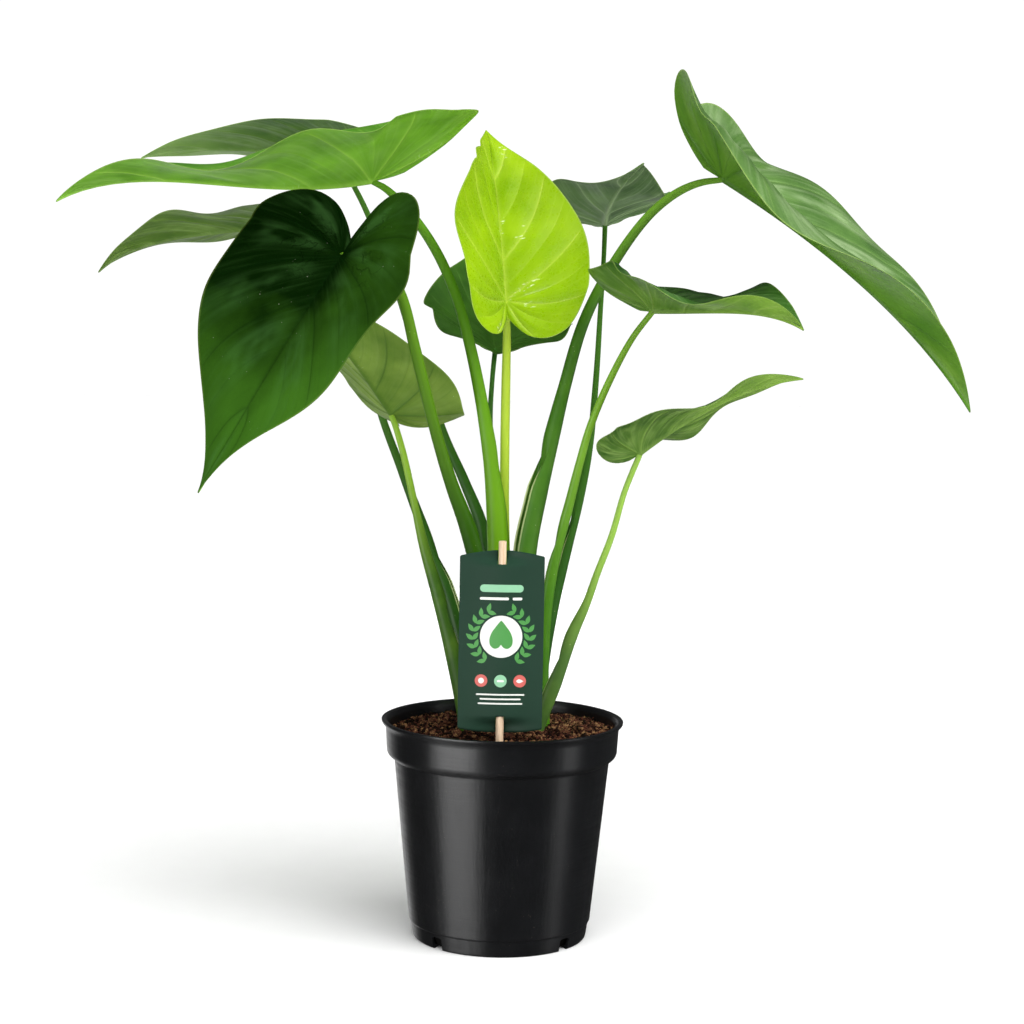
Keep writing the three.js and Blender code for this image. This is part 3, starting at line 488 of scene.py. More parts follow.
# %% The eleven leaves
# "joint" is where the stem meets the blade. "heading" turns from +X to +Y, "pitch" lifts the
# tip and "roll" tips the blade to its left. "arch" and "droop" bend the midrib down towards the
# tip, "sway" and "twist" turn it, and "lobe_tilt" bends the lobes. Each side folds up from the
# midrib by an angle at the lobe, base, middle and tip, and curls further out to its edge. A
# wave has the height and phase of the edge's wave, and "waves" counts them along the blade.
# "nicks" dent (-) or swell (+) the rim of a side, 1 being the left: where, how wide and how
# deep. "width" and "lobes" stretch the outline. A stem's points end with its radius, and its sheath opens
# towards "faces" below "sheath_top".
LEAVES = {
    "young": dict(
        joint=(-0.003, 0, 0.551), length=0.184, width=1.06, lobes=0.93,
        heading=104, pitch=71, roll=-9, arch=25, droop=5, sway=-3, twist=-7, lobe_tilt=-21,
        left=dict(fold=(40, 38, 41, 34), curl=-2, wave=(0.0084, 0.29)),
        right=dict(fold=(42, 37, 40, 23), curl=9, wave=(0.0074, 0.32)),
        waves=1.4, sheath_top=0.2, faces=270,
        nicks={1: ((0.785, 0.03, -0.15), (0.7, 0.03, 0.08), (0.64, 0.016, -0.07), (0.57, 0.03, 0.02))},
        stem=(
            (-0.002, 0.008, 0.526, 0.0034), (-0.002, 0.01, 0.485, 0.0039),
            (-0.002, 0.013, 0.431, 0.004), (-0.001, 0.016, 0.361, 0.004),
            (0.005, 0.019, 0.24, 0.004), (0.006, 0.019, 0.178, 0.004),
        ),
    ),
    "long_left": dict(
        joint=(-0.117, -0.02, 0.649), length=0.265, width=1.03, lobes=1.29,
        heading=199, pitch=-12, roll=7, arch=-45, droop=63, sway=-18, twist=-7, lobe_tilt=-23,
        left=dict(fold=(28, 49, 21, 31), curl=-18, wave=(0.015, -0.29)),
        right=dict(fold=(23, 32, 21, 27), curl=-16, wave=(0.0057, 0.74)),
        waves=1.9, sheath_top=0.43, faces=50,
        stem=(
            (-0.106, -0.018, 0.643, 0.003), (-0.085, -0.014, 0.623, 0.0038),
            (-0.063, -0.011, 0.592, 0.0042), (-0.045, -0.008, 0.553, 0.0044),
            (-0.033, -0.006, 0.512, 0.0048), (-0.022, -0.003, 0.462, 0.0054),
            (-0.013, 0, 0.41, 0.007), (-0.007, 0.002, 0.35, 0.009), (-0.005, 0.002, 0.28, 0.009),
            (0, 0.002, 0.178, 0.009),
        ),
    ),
    "back_left": dict(
        joint=(-0.161, 0.15, 0.683), length=0.186, width=1, lobes=1,
        heading=175, pitch=4, roll=-12, arch=1, droop=18, sway=-2, twist=4, lobe_tilt=-1,
        left=dict(fold=(12, 18, 13, 16), curl=-14, wave=(0.0027, -0.23)),
        right=dict(fold=(10, 10, 10, -1), curl=-10, wave=(0.0063, 0.37)),
        waves=1.44, sheath_top=0.36, faces=320,
        stem=(
            (-0.146, 0.141, 0.657, 0.0024), (-0.132, 0.13, 0.631, 0.0026),
            (-0.102, 0.104, 0.56, 0.003), (-0.076, 0.073, 0.484, 0.0034),
            (-0.054, 0.055, 0.428, 0.0038), (-0.037, 0.044, 0.392, 0.0046),
            (-0.02, 0.035, 0.35, 0.0056), (-0.012, 0.028, 0.29, 0.006),
            (-0.01, 0.024, 0.178, 0.006),
        ),
    ),
    "front": dict(
        joint=(-0.134, -0.12, 0.583), length=0.224, width=1.034, lobes=0.85,
        heading=217, pitch=-53, roll=16, arch=8, droop=-4, sway=-5, twist=-2, lobe_tilt=-35,
        left=dict(fold=(6, 26, 3, 18), curl=-12, wave=(0.0116, -0.31)),
        right=dict(fold=(24, 20, 30, -5), curl=-8, wave=(0.0079, 0.5)),
        waves=1.68, sheath_top=0.36, faces=40,
        stem=(
            (-0.122, -0.104, 0.59, 0.003), (-0.103, -0.098, 0.579, 0.0036),
            (-0.088, -0.092, 0.554, 0.0042), (-0.076, -0.08, 0.508, 0.0047),
            (-0.06, -0.061, 0.444, 0.0049), (-0.046, -0.046, 0.397, 0.0056),
            (-0.033, -0.035, 0.362, 0.007), (-0.022, -0.027, 0.325, 0.0088),
            (-0.013, -0.02, 0.261, 0.0085), (-0.008, -0.018, 0.178, 0.008),
        ),
    ),
    "side_left": dict(
        joint=(-0.211, 0.11, 0.617), length=0.182, width=1, lobes=0.83,
        heading=169, pitch=-7, roll=-4, arch=-5, droop=39, sway=-3, twist=4, lobe_tilt=-2,
        left=dict(fold=(10, 10, 20, 16), curl=-14, wave=(0.0054, 0.32)),
        right=dict(fold=(11, 11, 5, 7), curl=-10, wave=(0.004, -0.15)),
        waves=1.9, sheath_top=0.35, faces=350,
        stem=(
            (-0.192, 0.112, 0.601, 0.0025), (-0.167, 0.11, 0.565, 0.0028),
            (-0.146, 0.107, 0.528, 0.003), (-0.127, 0.1, 0.488, 0.0032),
            (-0.112, 0.087, 0.443, 0.0034), (-0.096, 0.069, 0.405, 0.0037),
            (-0.07, 0.042, 0.344, 0.005), (-0.052, 0.028, 0.303, 0.0065),
            (-0.036, 0.016, 0.25, 0.007), (-0.024, 0.012, 0.178, 0.007),
        ),
    ),
    "low_left": dict(
        joint=(-0.1, 0.006, 0.452), length=0.168, width=1.01, lobes=0.91,
        heading=239, pitch=41, roll=0, arch=10, droop=7, sway=4, twist=-7, lobe_tilt=-30,
        left=dict(fold=(29, 14, 22, 31), curl=-9, wave=(0.0045, 0.08)),
        right=dict(fold=(25, 24, 32, 17), curl=-3, wave=(0.006, 0.28)),
        waves=1.43, sheath_top=0.3, faces=20,
        stem=(
            (-0.096, 0.004, 0.441, 0.0026), (-0.089, 0.002, 0.418, 0.0029),
            (-0.078, -0.002, 0.372, 0.0032), (-0.07, -0.005, 0.34, 0.0044),
            (-0.057, -0.008, 0.298, 0.006), (-0.044, -0.009, 0.25, 0.007),
            (-0.03, -0.008, 0.178, 0.007),
        ),
    ),
    "back": dict(
        joint=(-0.013, 0.15, 0.508), length=0.1862, width=1.01, lobes=0.88,
        heading=97, pitch=25, roll=-5, arch=-30, droop=-6, sway=-16, twist=-3, lobe_tilt=-57,
        left=dict(fold=(12, 29, 27, 20), curl=-5, wave=(0.0065, 0.43)),
        right=dict(fold=(19, 28, 20, 20), curl=-10, wave=(0.0063, 0.37)),
        waves=1.6, sheath_top=0.3, faces=270,
        stem=(
            (-0.015, 0.12, 0.48, 0.0022), (-0.016, 0.096, 0.446, 0.0024),
            (-0.013, 0.075, 0.392, 0.003), (-0.006, 0.054, 0.322, 0.004),
            (0.005, 0.038, 0.25, 0.004), (0.01, 0.032, 0.178, 0.004),
        ),
    ),
    "long_right": dict(
        joint=(0.179, 0, 0.657), length=0.291, width=1.04, lobes=0.786,
        heading=-22, pitch=-31, roll=6, arch=16, droop=10, sway=0, twist=6, lobe_tilt=6,
        left=dict(fold=(55, 31, 35, 37), curl=-25, wave=(0.0048, -0.05)),
        right=dict(fold=(71, 40, 22, 56), curl=-48, wave=(0.0046, 0.05)),
        waves=1.9, sheath_top=0.44, faces=196,
        stem=(
            (0.161, 0.002, 0.654, 0.003), (0.144, 0.004, 0.647, 0.0035),
            (0.125, 0.004, 0.633, 0.0038), (0.108, 0.004, 0.614, 0.004),
            (0.083, 0.003, 0.575, 0.0044), (0.063, 0.002, 0.532, 0.0049),
            (0.048, 0.001, 0.477, 0.0055), (0.038, 0, 0.435, 0.007),
            (0.026, -0.001, 0.385, 0.0092), (0.017, -0.002, 0.335, 0.01),
            (0.015, -0.002, 0.27, 0.0095), (0.02, -0.002, 0.178, 0.009),
        ),
    ),
    "back_right": dict(
        joint=(0.088, 0.19, 0.627), length=0.171, width=1.01, lobes=0.97,
        heading=-92, pitch=13, roll=-5, arch=-5, droop=1, sway=22, twist=-5, lobe_tilt=-33,
        left=dict(fold=(12, 31, -4, 20), curl=-4, wave=(0.0062, -0.22)),
        right=dict(fold=(16, 11, 25, -11), curl=-8, wave=(0.0061, 0.47)),
        waves=1.62, sheath_top=0.38, faces=200,
        stem=(
            (0.087, 0.178, 0.595, 0.0022), (0.084, 0.155, 0.547, 0.0024),
            (0.08, 0.125, 0.482, 0.0028), (0.074, 0.097, 0.419, 0.0032),
            (0.065, 0.078, 0.375, 0.0044), (0.053, 0.059, 0.328, 0.0052),
            (0.042, 0.045, 0.28, 0.0058), (0.034, 0.032, 0.23, 0.006), (0.03, 0.024, 0.178, 0.006),
        ),
    ),
    "side_right": dict(
        joint=(0.119, -0.05, 0.544), length=0.159, width=1.12, lobes=1.15,
        heading=-39, pitch=0, roll=3, arch=-4, droop=28, sway=-12, twist=0, lobe_tilt=-24,
        left=dict(fold=(27, 19, 31, 38), curl=-12, wave=(0.0057, 0.34)),
        right=dict(fold=(26, 49, 12, 64), curl=-15, wave=(0.0089, 0.77)),
        waves=1.7, sheath_top=0.37, faces=170,
        stem=(
            (0.103, -0.044, 0.521, 0.0026), (0.085, -0.037, 0.485, 0.003),
            (0.07, -0.029, 0.446, 0.0032), (0.062, -0.022, 0.415, 0.0035),
            (0.053, -0.014, 0.375, 0.0042), (0.043, -0.007, 0.334, 0.005),
            (0.036, 0, 0.285, 0.0054), (0.034, 0.003, 0.235, 0.0056),
            (0.036, 0.006, 0.178, 0.0055),
        ),
    ),
    "low_right": dict(
        joint=(0.109, -0.08, 0.427), length=0.149, width=1.01, lobes=0.73,
        heading=-2, pitch=39, roll=25, arch=20, droop=13, sway=2, twist=-2, lobe_tilt=-20,
        left=dict(fold=(68, 29, 13, 17), curl=-9, wave=(0.0068, 0.16)),
        right=dict(fold=(18, 18, -8, 22), curl=-13, wave=(0.0059, -0.19)),
        waves=1.92, sheath_top=0.27, faces=160,
        stem=(
            (0.098, -0.068, 0.394, 0.0024), (0.089, -0.056, 0.357, 0.0027),
            (0.077, -0.045, 0.321, 0.003), (0.07, -0.038, 0.298, 0.0035),
            (0.058, -0.031, 0.269, 0.0053), (0.044, -0.025, 0.226, 0.0064),
            (0.029, -0.02, 0.178, 0.0056),
        ),
    ),
}

# %% The rule of the blade
HALF_OUTLINE = (
    (-0.085, 0), (-0.15, 0.035), (-0.235, 0.095), (-0.285, 0.18), (-0.265, 0.27),
    (-0.17, 0.345), (-0.03, 0.392), (0.12, 0.4), (0.3, 0.365), (0.47, 0.3),
    (0.63, 0.215), (0.77, 0.13), (0.88, 0.062), (0.95, 0.024), (1, 0),
)
LOBE_REACH = 0.28
HALF_WIDTH = 0.4
FAN_END = 0.12
VEIN_SPREAD = 2.2
VEIN_BOW = 0.03
OUTLINE_EVENNESS, OUTLINE_STATIONS = 0, 400
STEPS_IN_SPAN = 60
MIDRIB_STEP = 0.005
STEPS_BEHIND, STEPS_AHEAD = 80, 200


def curve_at(points, where, evenness):
    """Places on a smooth curve through given points; 0.5 keeps short spans from swinging."""
    points = np.asarray(points, float)
    padded = np.vstack([2 * points[0] - points[1], points, 2 * points[-1] - points[-2]])
    span = np.minimum(where.astype(int), len(points) - 2)
    t = (where - span)[:, None]
    p0, p1, p2, p3 = (padded[span + k] for k in range(4))
    d0, d1, d2 = (
        np.linalg.norm(b - a, axis=1, keepdims=True) ** evenness
        for a, b in ((p0, p1), (p1, p2), (p2, p3))
    )
    leave = d1 * ((p1 - p0) / d0 - (p2 - p0) / (d0 + d1) + (p2 - p1) / d1)
    arrive = d1 * ((p2 - p1) / d1 - (p3 - p1) / (d1 + d2) + (p3 - p2) / d2)
    bend = 3 * (p2 - p1) - 2 * leave - arrive
    return p1 + leave * t + bend * t**2 + (2 * (p1 - p2) + leave + arrive) * t**3


def even_places(points, evenness, count):
    """Where on the curve the places lie that part it into equal lengths."""
    where = np.linspace(0, len(points) - 1, STEPS_IN_SPAN * (len(points) - 1) + 1)
    steps = np.linalg.norm(np.diff(curve_at(points, where, evenness), axis=0), axis=1)
    run = np.concatenate([[0], np.cumsum(steps)])
    return np.interp(np.linspace(0, run[-1], count), run, where)


def soft_step(value):
    part = np.clip(value, 0, 1)
    return part * part * (3 - 2 * part)


def blade_axes(leaf, x):
    """The midrib's direction, the blade's upper side and its left at stations of its length."""
    ahead = np.maximum(x, 0)
    behind = np.minimum(x, 0)
    bend = leaf["arch"] * ahead + leaf["droop"] * ahead**3 + leaf["lobe_tilt"] * behind / LOBE_REACH
    pitch = np.radians(leaf["pitch"] - bend)
    heading = np.radians(leaf["heading"] + leaf["sway"] * ahead)
    roll = np.radians(leaf["roll"] + leaf["twist"] * ahead)[..., None]
    cos_p, sin_p, cos_h, sin_h = np.cos(pitch), np.sin(pitch), np.cos(heading), np.sin(heading)
    along = np.stack([cos_p * cos_h, cos_p * sin_h, sin_p], -1)
    level = np.stack([-sin_p * cos_h, -sin_p * sin_h, cos_p], -1)
    side = np.cross(level, along)
    return along, level * np.cos(roll) + side * np.sin(roll), side * np.cos(roll) - level * np.sin(roll)


def midrib_points(leaf, x):
    """Places on the midrib: its direction added up in small steps from the stem's joint."""
    stations = np.arange(-STEPS_BEHIND, STEPS_AHEAD + 1) * MIDRIB_STEP
    directions, _, _ = blade_axes(leaf, stations[:-1] + MIDRIB_STEP / 2)
    route = np.vstack([[0, 0, 0], np.cumsum(directions * leaf["length"] * MIDRIB_STEP, axis=0)])
    route += np.array(leaf["joint"]) - route[STEPS_BEHIND]
    return np.stack([np.interp(x, stations, route[:, axis]) for axis in range(3)], -1)


def fold_at(fold, x):
    """A side's fold: a parabola through its angles at 0, 0.45 and 0.9 of the length, then the lobe."""
    lobe, base, middle, tip = fold
    t = np.maximum(x, 0)
    through = (
        base * (t - 0.45) * (t - 0.9) / 0.405
        - middle * t * (t - 0.9) / 0.2025
        + tip * t * (t - 0.45) / 0.405
    )
    return through + (lobe - base) * soft_step(-x / LOBE_REACH)


def blade_points(leaf, flat_x, flat_y, side):
    """The blade's middle layer, from flat places in parts of its length; side 1 is the left."""
    x = np.where(flat_x < 0, flat_x * leaf["lobes"], flat_x)
    out = flat_y * leaf["width"]
    half = leaf["left"] if side > 0 else leaf["right"]
    _, up, left = blade_axes(leaf, x)
    fold = np.radians(fold_at(half["fold"], x))
    bend = math.radians(half["curl"]) / HALF_WIDTH
    angle = fold + bend * out
    height, phase = half["wave"]
    wave = (height / leaf["length"]) * (out / HALF_WIDTH) ** 1.5
    wave = wave * np.sin(2 * math.pi * (leaf["waves"] * x + phase))
    sideways = (np.sin(angle) - np.sin(fold)) / bend - wave * np.sin(angle)
    upwards = (np.cos(fold) - np.cos(angle)) / bend + wave * np.cos(angle)
    return (
        midrib_points(leaf, x)
        + left * (side * leaf["length"] * sideways)[..., None]
        + up * (leaf["length"] * upwards)[..., None]
    )


outline_places = even_places(HALF_OUTLINE, OUTLINE_EVENNESS, OUTLINE_STATIONS)
outline = curve_at(HALF_OUTLINE, outline_places, OUTLINE_EVENNESS)
print("leaves:", len(LEAVES), "- longest blade:", max(leaf["length"] for leaf in LEAVES.values()), "m")

# %% [markdown]
# The grid of a blade runs along its veins: its columns start at the joint or on the midrib and
# end at the rim, curving towards the tip as they go, and its rows run round the blade. Columns
# lie closer together beside a vein, and rows beside the midrib and the rim, where the shape
# changes fastest. Five strong veins and four weak ones cross each side.

# %% Lay the grid over a blade
VEIN_GAPS = 10
COLUMNS_IN_GAP = 12
ROWS = 34
VEIN_TURN = 0.045
VEIN_WIDTH = 0.0010
HALO_WIDTH = 0.0042
MIDRIB_WIDTH = 0.0024
STRONG_VEIN, WEAK_VEIN = 1.0, 0.2
QUILT_ROOM = 0.06
VEIN_ROOM = 0.0035
COLUMN_CROWDING = 0.75
ROW_CROWDING = (1.6, 1.5)
VEIN_NARROWING = 0.6
RIB_HALO = 2.2
FADE_START = 0.9
SHEET_MERGE = 2e-6
PIECE_MERGE = 2e-7


def flat_grid(leaf, side):
    """Flat places on one side of a blade, and what the finish and the relief need there."""
    count = np.arange(VEIN_GAPS * COLUMNS_IN_GAP + 1) / COLUMNS_IN_GAP
    run = (count - COLUMN_CROWDING * np.sin(2 * math.pi * count) / (2 * math.pi))[:, None]
    at_midrib, at_rim = ROW_CROWDING
    v = (1 - (1 - (np.arange(ROWS + 1) / ROWS) ** at_midrib) ** at_rim)[None, :]
    share = run / VEIN_GAPS
    turned = share + VEIN_TURN * np.sin(math.pi * share) * v**2.5
    lengths = np.linspace(0, 1, len(outline))
    root_x = np.interp(share, lengths, outline[:, 0])
    edge_x = np.interp(turned, lengths, outline[:, 0])
    edge_y = np.maximum(np.interp(turned, lengths, outline[:, 1]), 0)
    nick = np.zeros_like(edge_y)
    for place, width, depth in leaf.get("nicks", {}).get(side, ()):
        nick += depth * np.exp(-(((edge_x - place) / width) ** 2))
    start = np.maximum((root_x - FAN_END) / (1 - FAN_END), 0) ** VEIN_SPREAD
    bow = VEIN_BOW * np.minimum(1, 5 * start * (1 - start)) * np.sin(math.pi * v)
    x = start + (edge_x - start) * v - bow
    y = edge_y * v * (1 + nick * v**3)
    vein_x, vein_y = np.gradient(x, axis=1), np.gradient(y, axis=1)
    run_x, run_y = np.gradient(x, run[:, 0], axis=0), np.gradient(y, run[:, 0], axis=0)
    stride = np.maximum(np.hypot(vein_x, vein_y), 1e-9)
    gap_width = leaf["length"] * np.abs(run_x * vein_y - run_y * vein_x) / stride
    nearest = np.round(run)
    strength = np.where(nearest % 2 == 1, STRONG_VEIN, WEAK_VEIN)
    strength = strength * ((nearest > 0) & (nearest < VEIN_GAPS)) * soft_step(gap_width / VEIN_ROOM)
    away = np.abs(run - nearest) * gap_width
    fade = 1 - soft_step((v - FADE_START) / 0.1)
    vein = strength * fade * np.exp(-((away / (VEIN_WIDTH * (1 - VEIN_NARROWING * v))) ** 2))
    halo = strength * fade * np.exp(-((away / HALO_WIDTH) ** 2))
    from_rib = np.hypot(np.minimum(x, 0), y) * leaf["length"]
    rib_width = MIDRIB_WIDTH * np.clip(1.05 - x, 0.2, 1)
    midrib = np.exp(-((from_rib / rib_width) ** 2))
    rib_halo = np.exp(-((from_rib / (RIB_HALO * rib_width)) ** 2))
    open_room = soft_step(gap_width / (QUILT_ROOM * leaf["length"]))
    ones = np.ones_like(x)
    return {
        "flat_x": x, "flat_y": y, "across": v * ones, "along": x, "run": run * ones,
        "vein": np.maximum(vein, midrib), "halo": np.maximum(halo, rib_halo), "midrib": midrib,
        "quilt": open_room * np.sin(math.pi * v) * np.abs(np.sin(math.pi * run)), "gap": gap_width,
    }


def blade_sheet(name, leaf):
    """The blade's middle layer as a mesh that carries its attributes and its flat map."""
    width = ROWS + 1
    sides = {1: flat_grid(leaf, 1), -1: flat_grid(leaf, -1)}
    count = (VEIN_GAPS * COLUMNS_IN_GAP + 1) * width
    points = []
    faces = []
    for number, (side, grid) in enumerate(sides.items()):
        points.append(blade_points(leaf, grid["flat_x"], grid["flat_y"], side).reshape(-1, 3))
        column, row = np.meshgrid(
            np.arange(VEIN_GAPS * COLUMNS_IN_GAP), np.arange(ROWS), indexing="ij")
        first = (number * count + column * width + row).ravel()
        ring = [first, first + width, first + width + 1, first + 1]
        faces.append(np.stack(ring[::side], -1))
    mesh = bpy.data.meshes.new(name)
    mesh.from_pydata(np.vstack(points).tolist(), [], np.vstack(faces).tolist())
    for label in ("across", "along", "run", "vein", "halo", "midrib", "quilt", "gap"):
        values = np.concatenate([grid[label].ravel() for grid in sides.values()])
        mesh.attributes.new(label, "FLOAT", "POINT").data.foreach_set("value", values)
    flat = np.vstack([
        np.stack([grid["flat_x"].ravel(), side * grid["flat_y"].ravel()], -1)
        for side, grid in sides.items()
    ]) * leaf["length"]
    corners = np.empty(len(mesh.loops), int)
    mesh.loops.foreach_get("vertex_index", corners)
    mesh.uv_layers.new(name="flat").data.foreach_set("uv", flat[corners].ravel())
    shape = bmesh.new()
    shape.from_mesh(mesh)
    bmesh.ops.remove_doubles(shape, verts=shape.verts, dist=SHEET_MERGE)
    shape.to_mesh(mesh)
    shape.free()
    mesh.shade_smooth()
    return mesh

# %% [markdown]
# The sheet is only the blade's middle layer. Its veins stand out below as ribs and lie in
# shallow channels above, and the green between them is quilted up. That follows the surface,
# so a Geometry Nodes tree does it: it moves one copy of the sheet up and a turned copy down,
# along the normal, and closes the rim with a strip between them. All eleven blades use the
# one tree.

# %% The tree for a blade's thickness and relief
def read(tree, name, kind="FLOAT"):
    """An attribute of the mesh, inside a Geometry Nodes tree."""
    return Field(node(tree, "GeometryNodeInputNamedAttribute", {"Name": name}, data_type=kind), "Attribute")


def store(geometry, name, value, kind="FLOAT", domain="POINT"):
    inputs = {"Name": name, "Value": value}
    return geometry.into("StoreNamedAttribute", inputs, data_type=kind, domain=domain)


def joined(first, second):
    """Two geometries as one."""
    both = first.into("JoinGeometry")
    first.tree.links.new(second.socket, both.socket.node.inputs[0])
    return both


def grow(name, source, tree, values):
    """Runs a tree on a source mesh, and returns its result as a plain mesh object."""
    holder = new_object(name, source)
    modifier = holder.modifiers.new("grow", "NODES")
    modifier.node_group = tree
    sockets = {
        item.name: item.identifier for item in tree.interface.items_tree
        if item.item_type == "SOCKET" and item.in_out == "INPUT"
    }
    for label, value in values.items():
        modifier[sockets[label]] = value
    ready = holder.evaluated_get(bpy.context.evaluated_depsgraph_get())
    mesh = bpy.data.meshes.new_from_object(ready)
    bpy.data.objects.remove(holder)
    return new_object(name, mesh)


def outwards(piece):
    """Merges what meets and turns every face of a closed mesh outwards."""
    shape = bmesh.new()
    shape.from_mesh(piece.data)
    bmesh.ops.remove_doubles(shape, verts=shape.verts, dist=PIECE_MERGE)
    bmesh.ops.recalc_face_normals(shape, faces=shape.faces)
    shape.to_mesh(piece.data)
    shape.free()


def triangles(piece):
    return sum(len(face.vertices) - 2 for face in piece.data.polygons)


def place_piece(piece, slot, *nodes):
    """The piece moves with the part's one body, and stands for the plain solids it names."""
    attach(piece, BODY)
    if nodes:
        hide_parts(*nodes)


GEOMETRY, MATERIAL, WHOLE = "NodeSocketGeometry", "NodeSocketMaterial", "NodeSocketInt"
tree, size = new_group("blade relief", "GeometryNodeTree", {
    "Sheet": (GEOMETRY, None), "Thickness": (NUMBER, 0.0007), "Rim Thickness": (NUMBER, 0.00035),
    "Quilt": (NUMBER, 0.0009), "Pucker": (NUMBER, 0.0006), "Channel": (NUMBER, 0.00022),
    "Vein Rib": (NUMBER, 0.0004), "Midrib": (NUMBER, 0.0017),
    "Upper Finish": (MATERIAL, None), "Under Finish": (MATERIAL, None),
}, {"Blade": GEOMETRY})
across = read(tree, "across")
vein = read(tree, "vein")
taper = step(read(tree, "along"), 0.0, 1.0, 1.0, 0.25)
lumps = cloud(Field(tree.nodes.new("GeometryNodeInputPosition")), 38.0, 2.0) - 0.5
half = step(across, 0.75, 1.0, size["Thickness"] * 0.5, size["Rim Thickness"] * 0.5)
inland = step(across, 0.0, 0.3) * step(across, 0.8, 1.0, 1.0, 0.1)
lift = read(tree, "quilt") * size["Quilt"] + lumps * size["Pucker"] * inland
above = lift + half - vein * size["Channel"]
below = lift - half - vein * size["Vein Rib"] - read(tree, "midrib") * size["Midrib"] * taper
normal = Field(tree.nodes.new("GeometryNodeInputNormal"))
sheet = store(size["Sheet"], "drop", normal * (below - above), "FLOAT_VECTOR")
upper = sheet.into("SetPosition", {"Offset": normal * above})
under = sheet.into("SetPosition", {"Offset": normal * below}).into("FlipFaces")
upper = upper.into("SetMaterial", {"Material": size["Upper Finish"]})
under = under.into("SetMaterial", {"Material": size["Under Finish"]})
neighbours = Field(tree.nodes.new("GeometryNodeInputMeshEdgeNeighbors"), "Face Count")
open_edge = Field(node(
    tree, "FunctionNodeCompare", {2: neighbours, 3: 1}, data_type="INT", operation="EQUAL"))
strip = upper.into("ExtrudeMesh", {
    "Selection": open_edge, "Offset": read(tree, "drop", "FLOAT_VECTOR"),
}, mode="EDGES")
finish_group(tree, {"Blade": joined(strip, under).into("SetShadeSmooth")})
blade_relief = tree
print("blade relief nodes:", len(tree.nodes))

# %% [markdown]
# Each leaf has its own greens. The young leaf is a bright yellow-green all through. Older
# ones are deep and glossy above and paler, duller and plainer veined below, so every blade
# has two finishes from the one tissue group.

# %% The greens of each leaf
RIM_PALE = (150, 176, 84)
LEAF_BUMP = 0.0005
SPECK_SHOW = 0.25
# In a look, sheen, streaks and glints set the painted highlights, tip and the left light paint light and
# shade across the blade, and puckers also paints shade into the creases.
USUAL_LOOK = dict(
    quilt=1.2, matt=0.42, gloss=0.3, veins=0.35, rim=0.3, tip=0.0, streaks=0.25, painted_sheen=0.45,
    painted_glints=0.0, mottle=0.7, puckers=0.0, left_painted_light=0.0,
)
# What each side of a blade takes of its leaf's look, and how much more matt it is.
SIDE_LOOK = {
    "upper": dict(veins=0.8, halo=0.3, painted_sheen=1.0, gloss=1.0, more_matt=0.0),
    "under": dict(veins=1.0, halo=0.4, painted_sheen=0.6, gloss=0.6, more_matt=0.08),
}
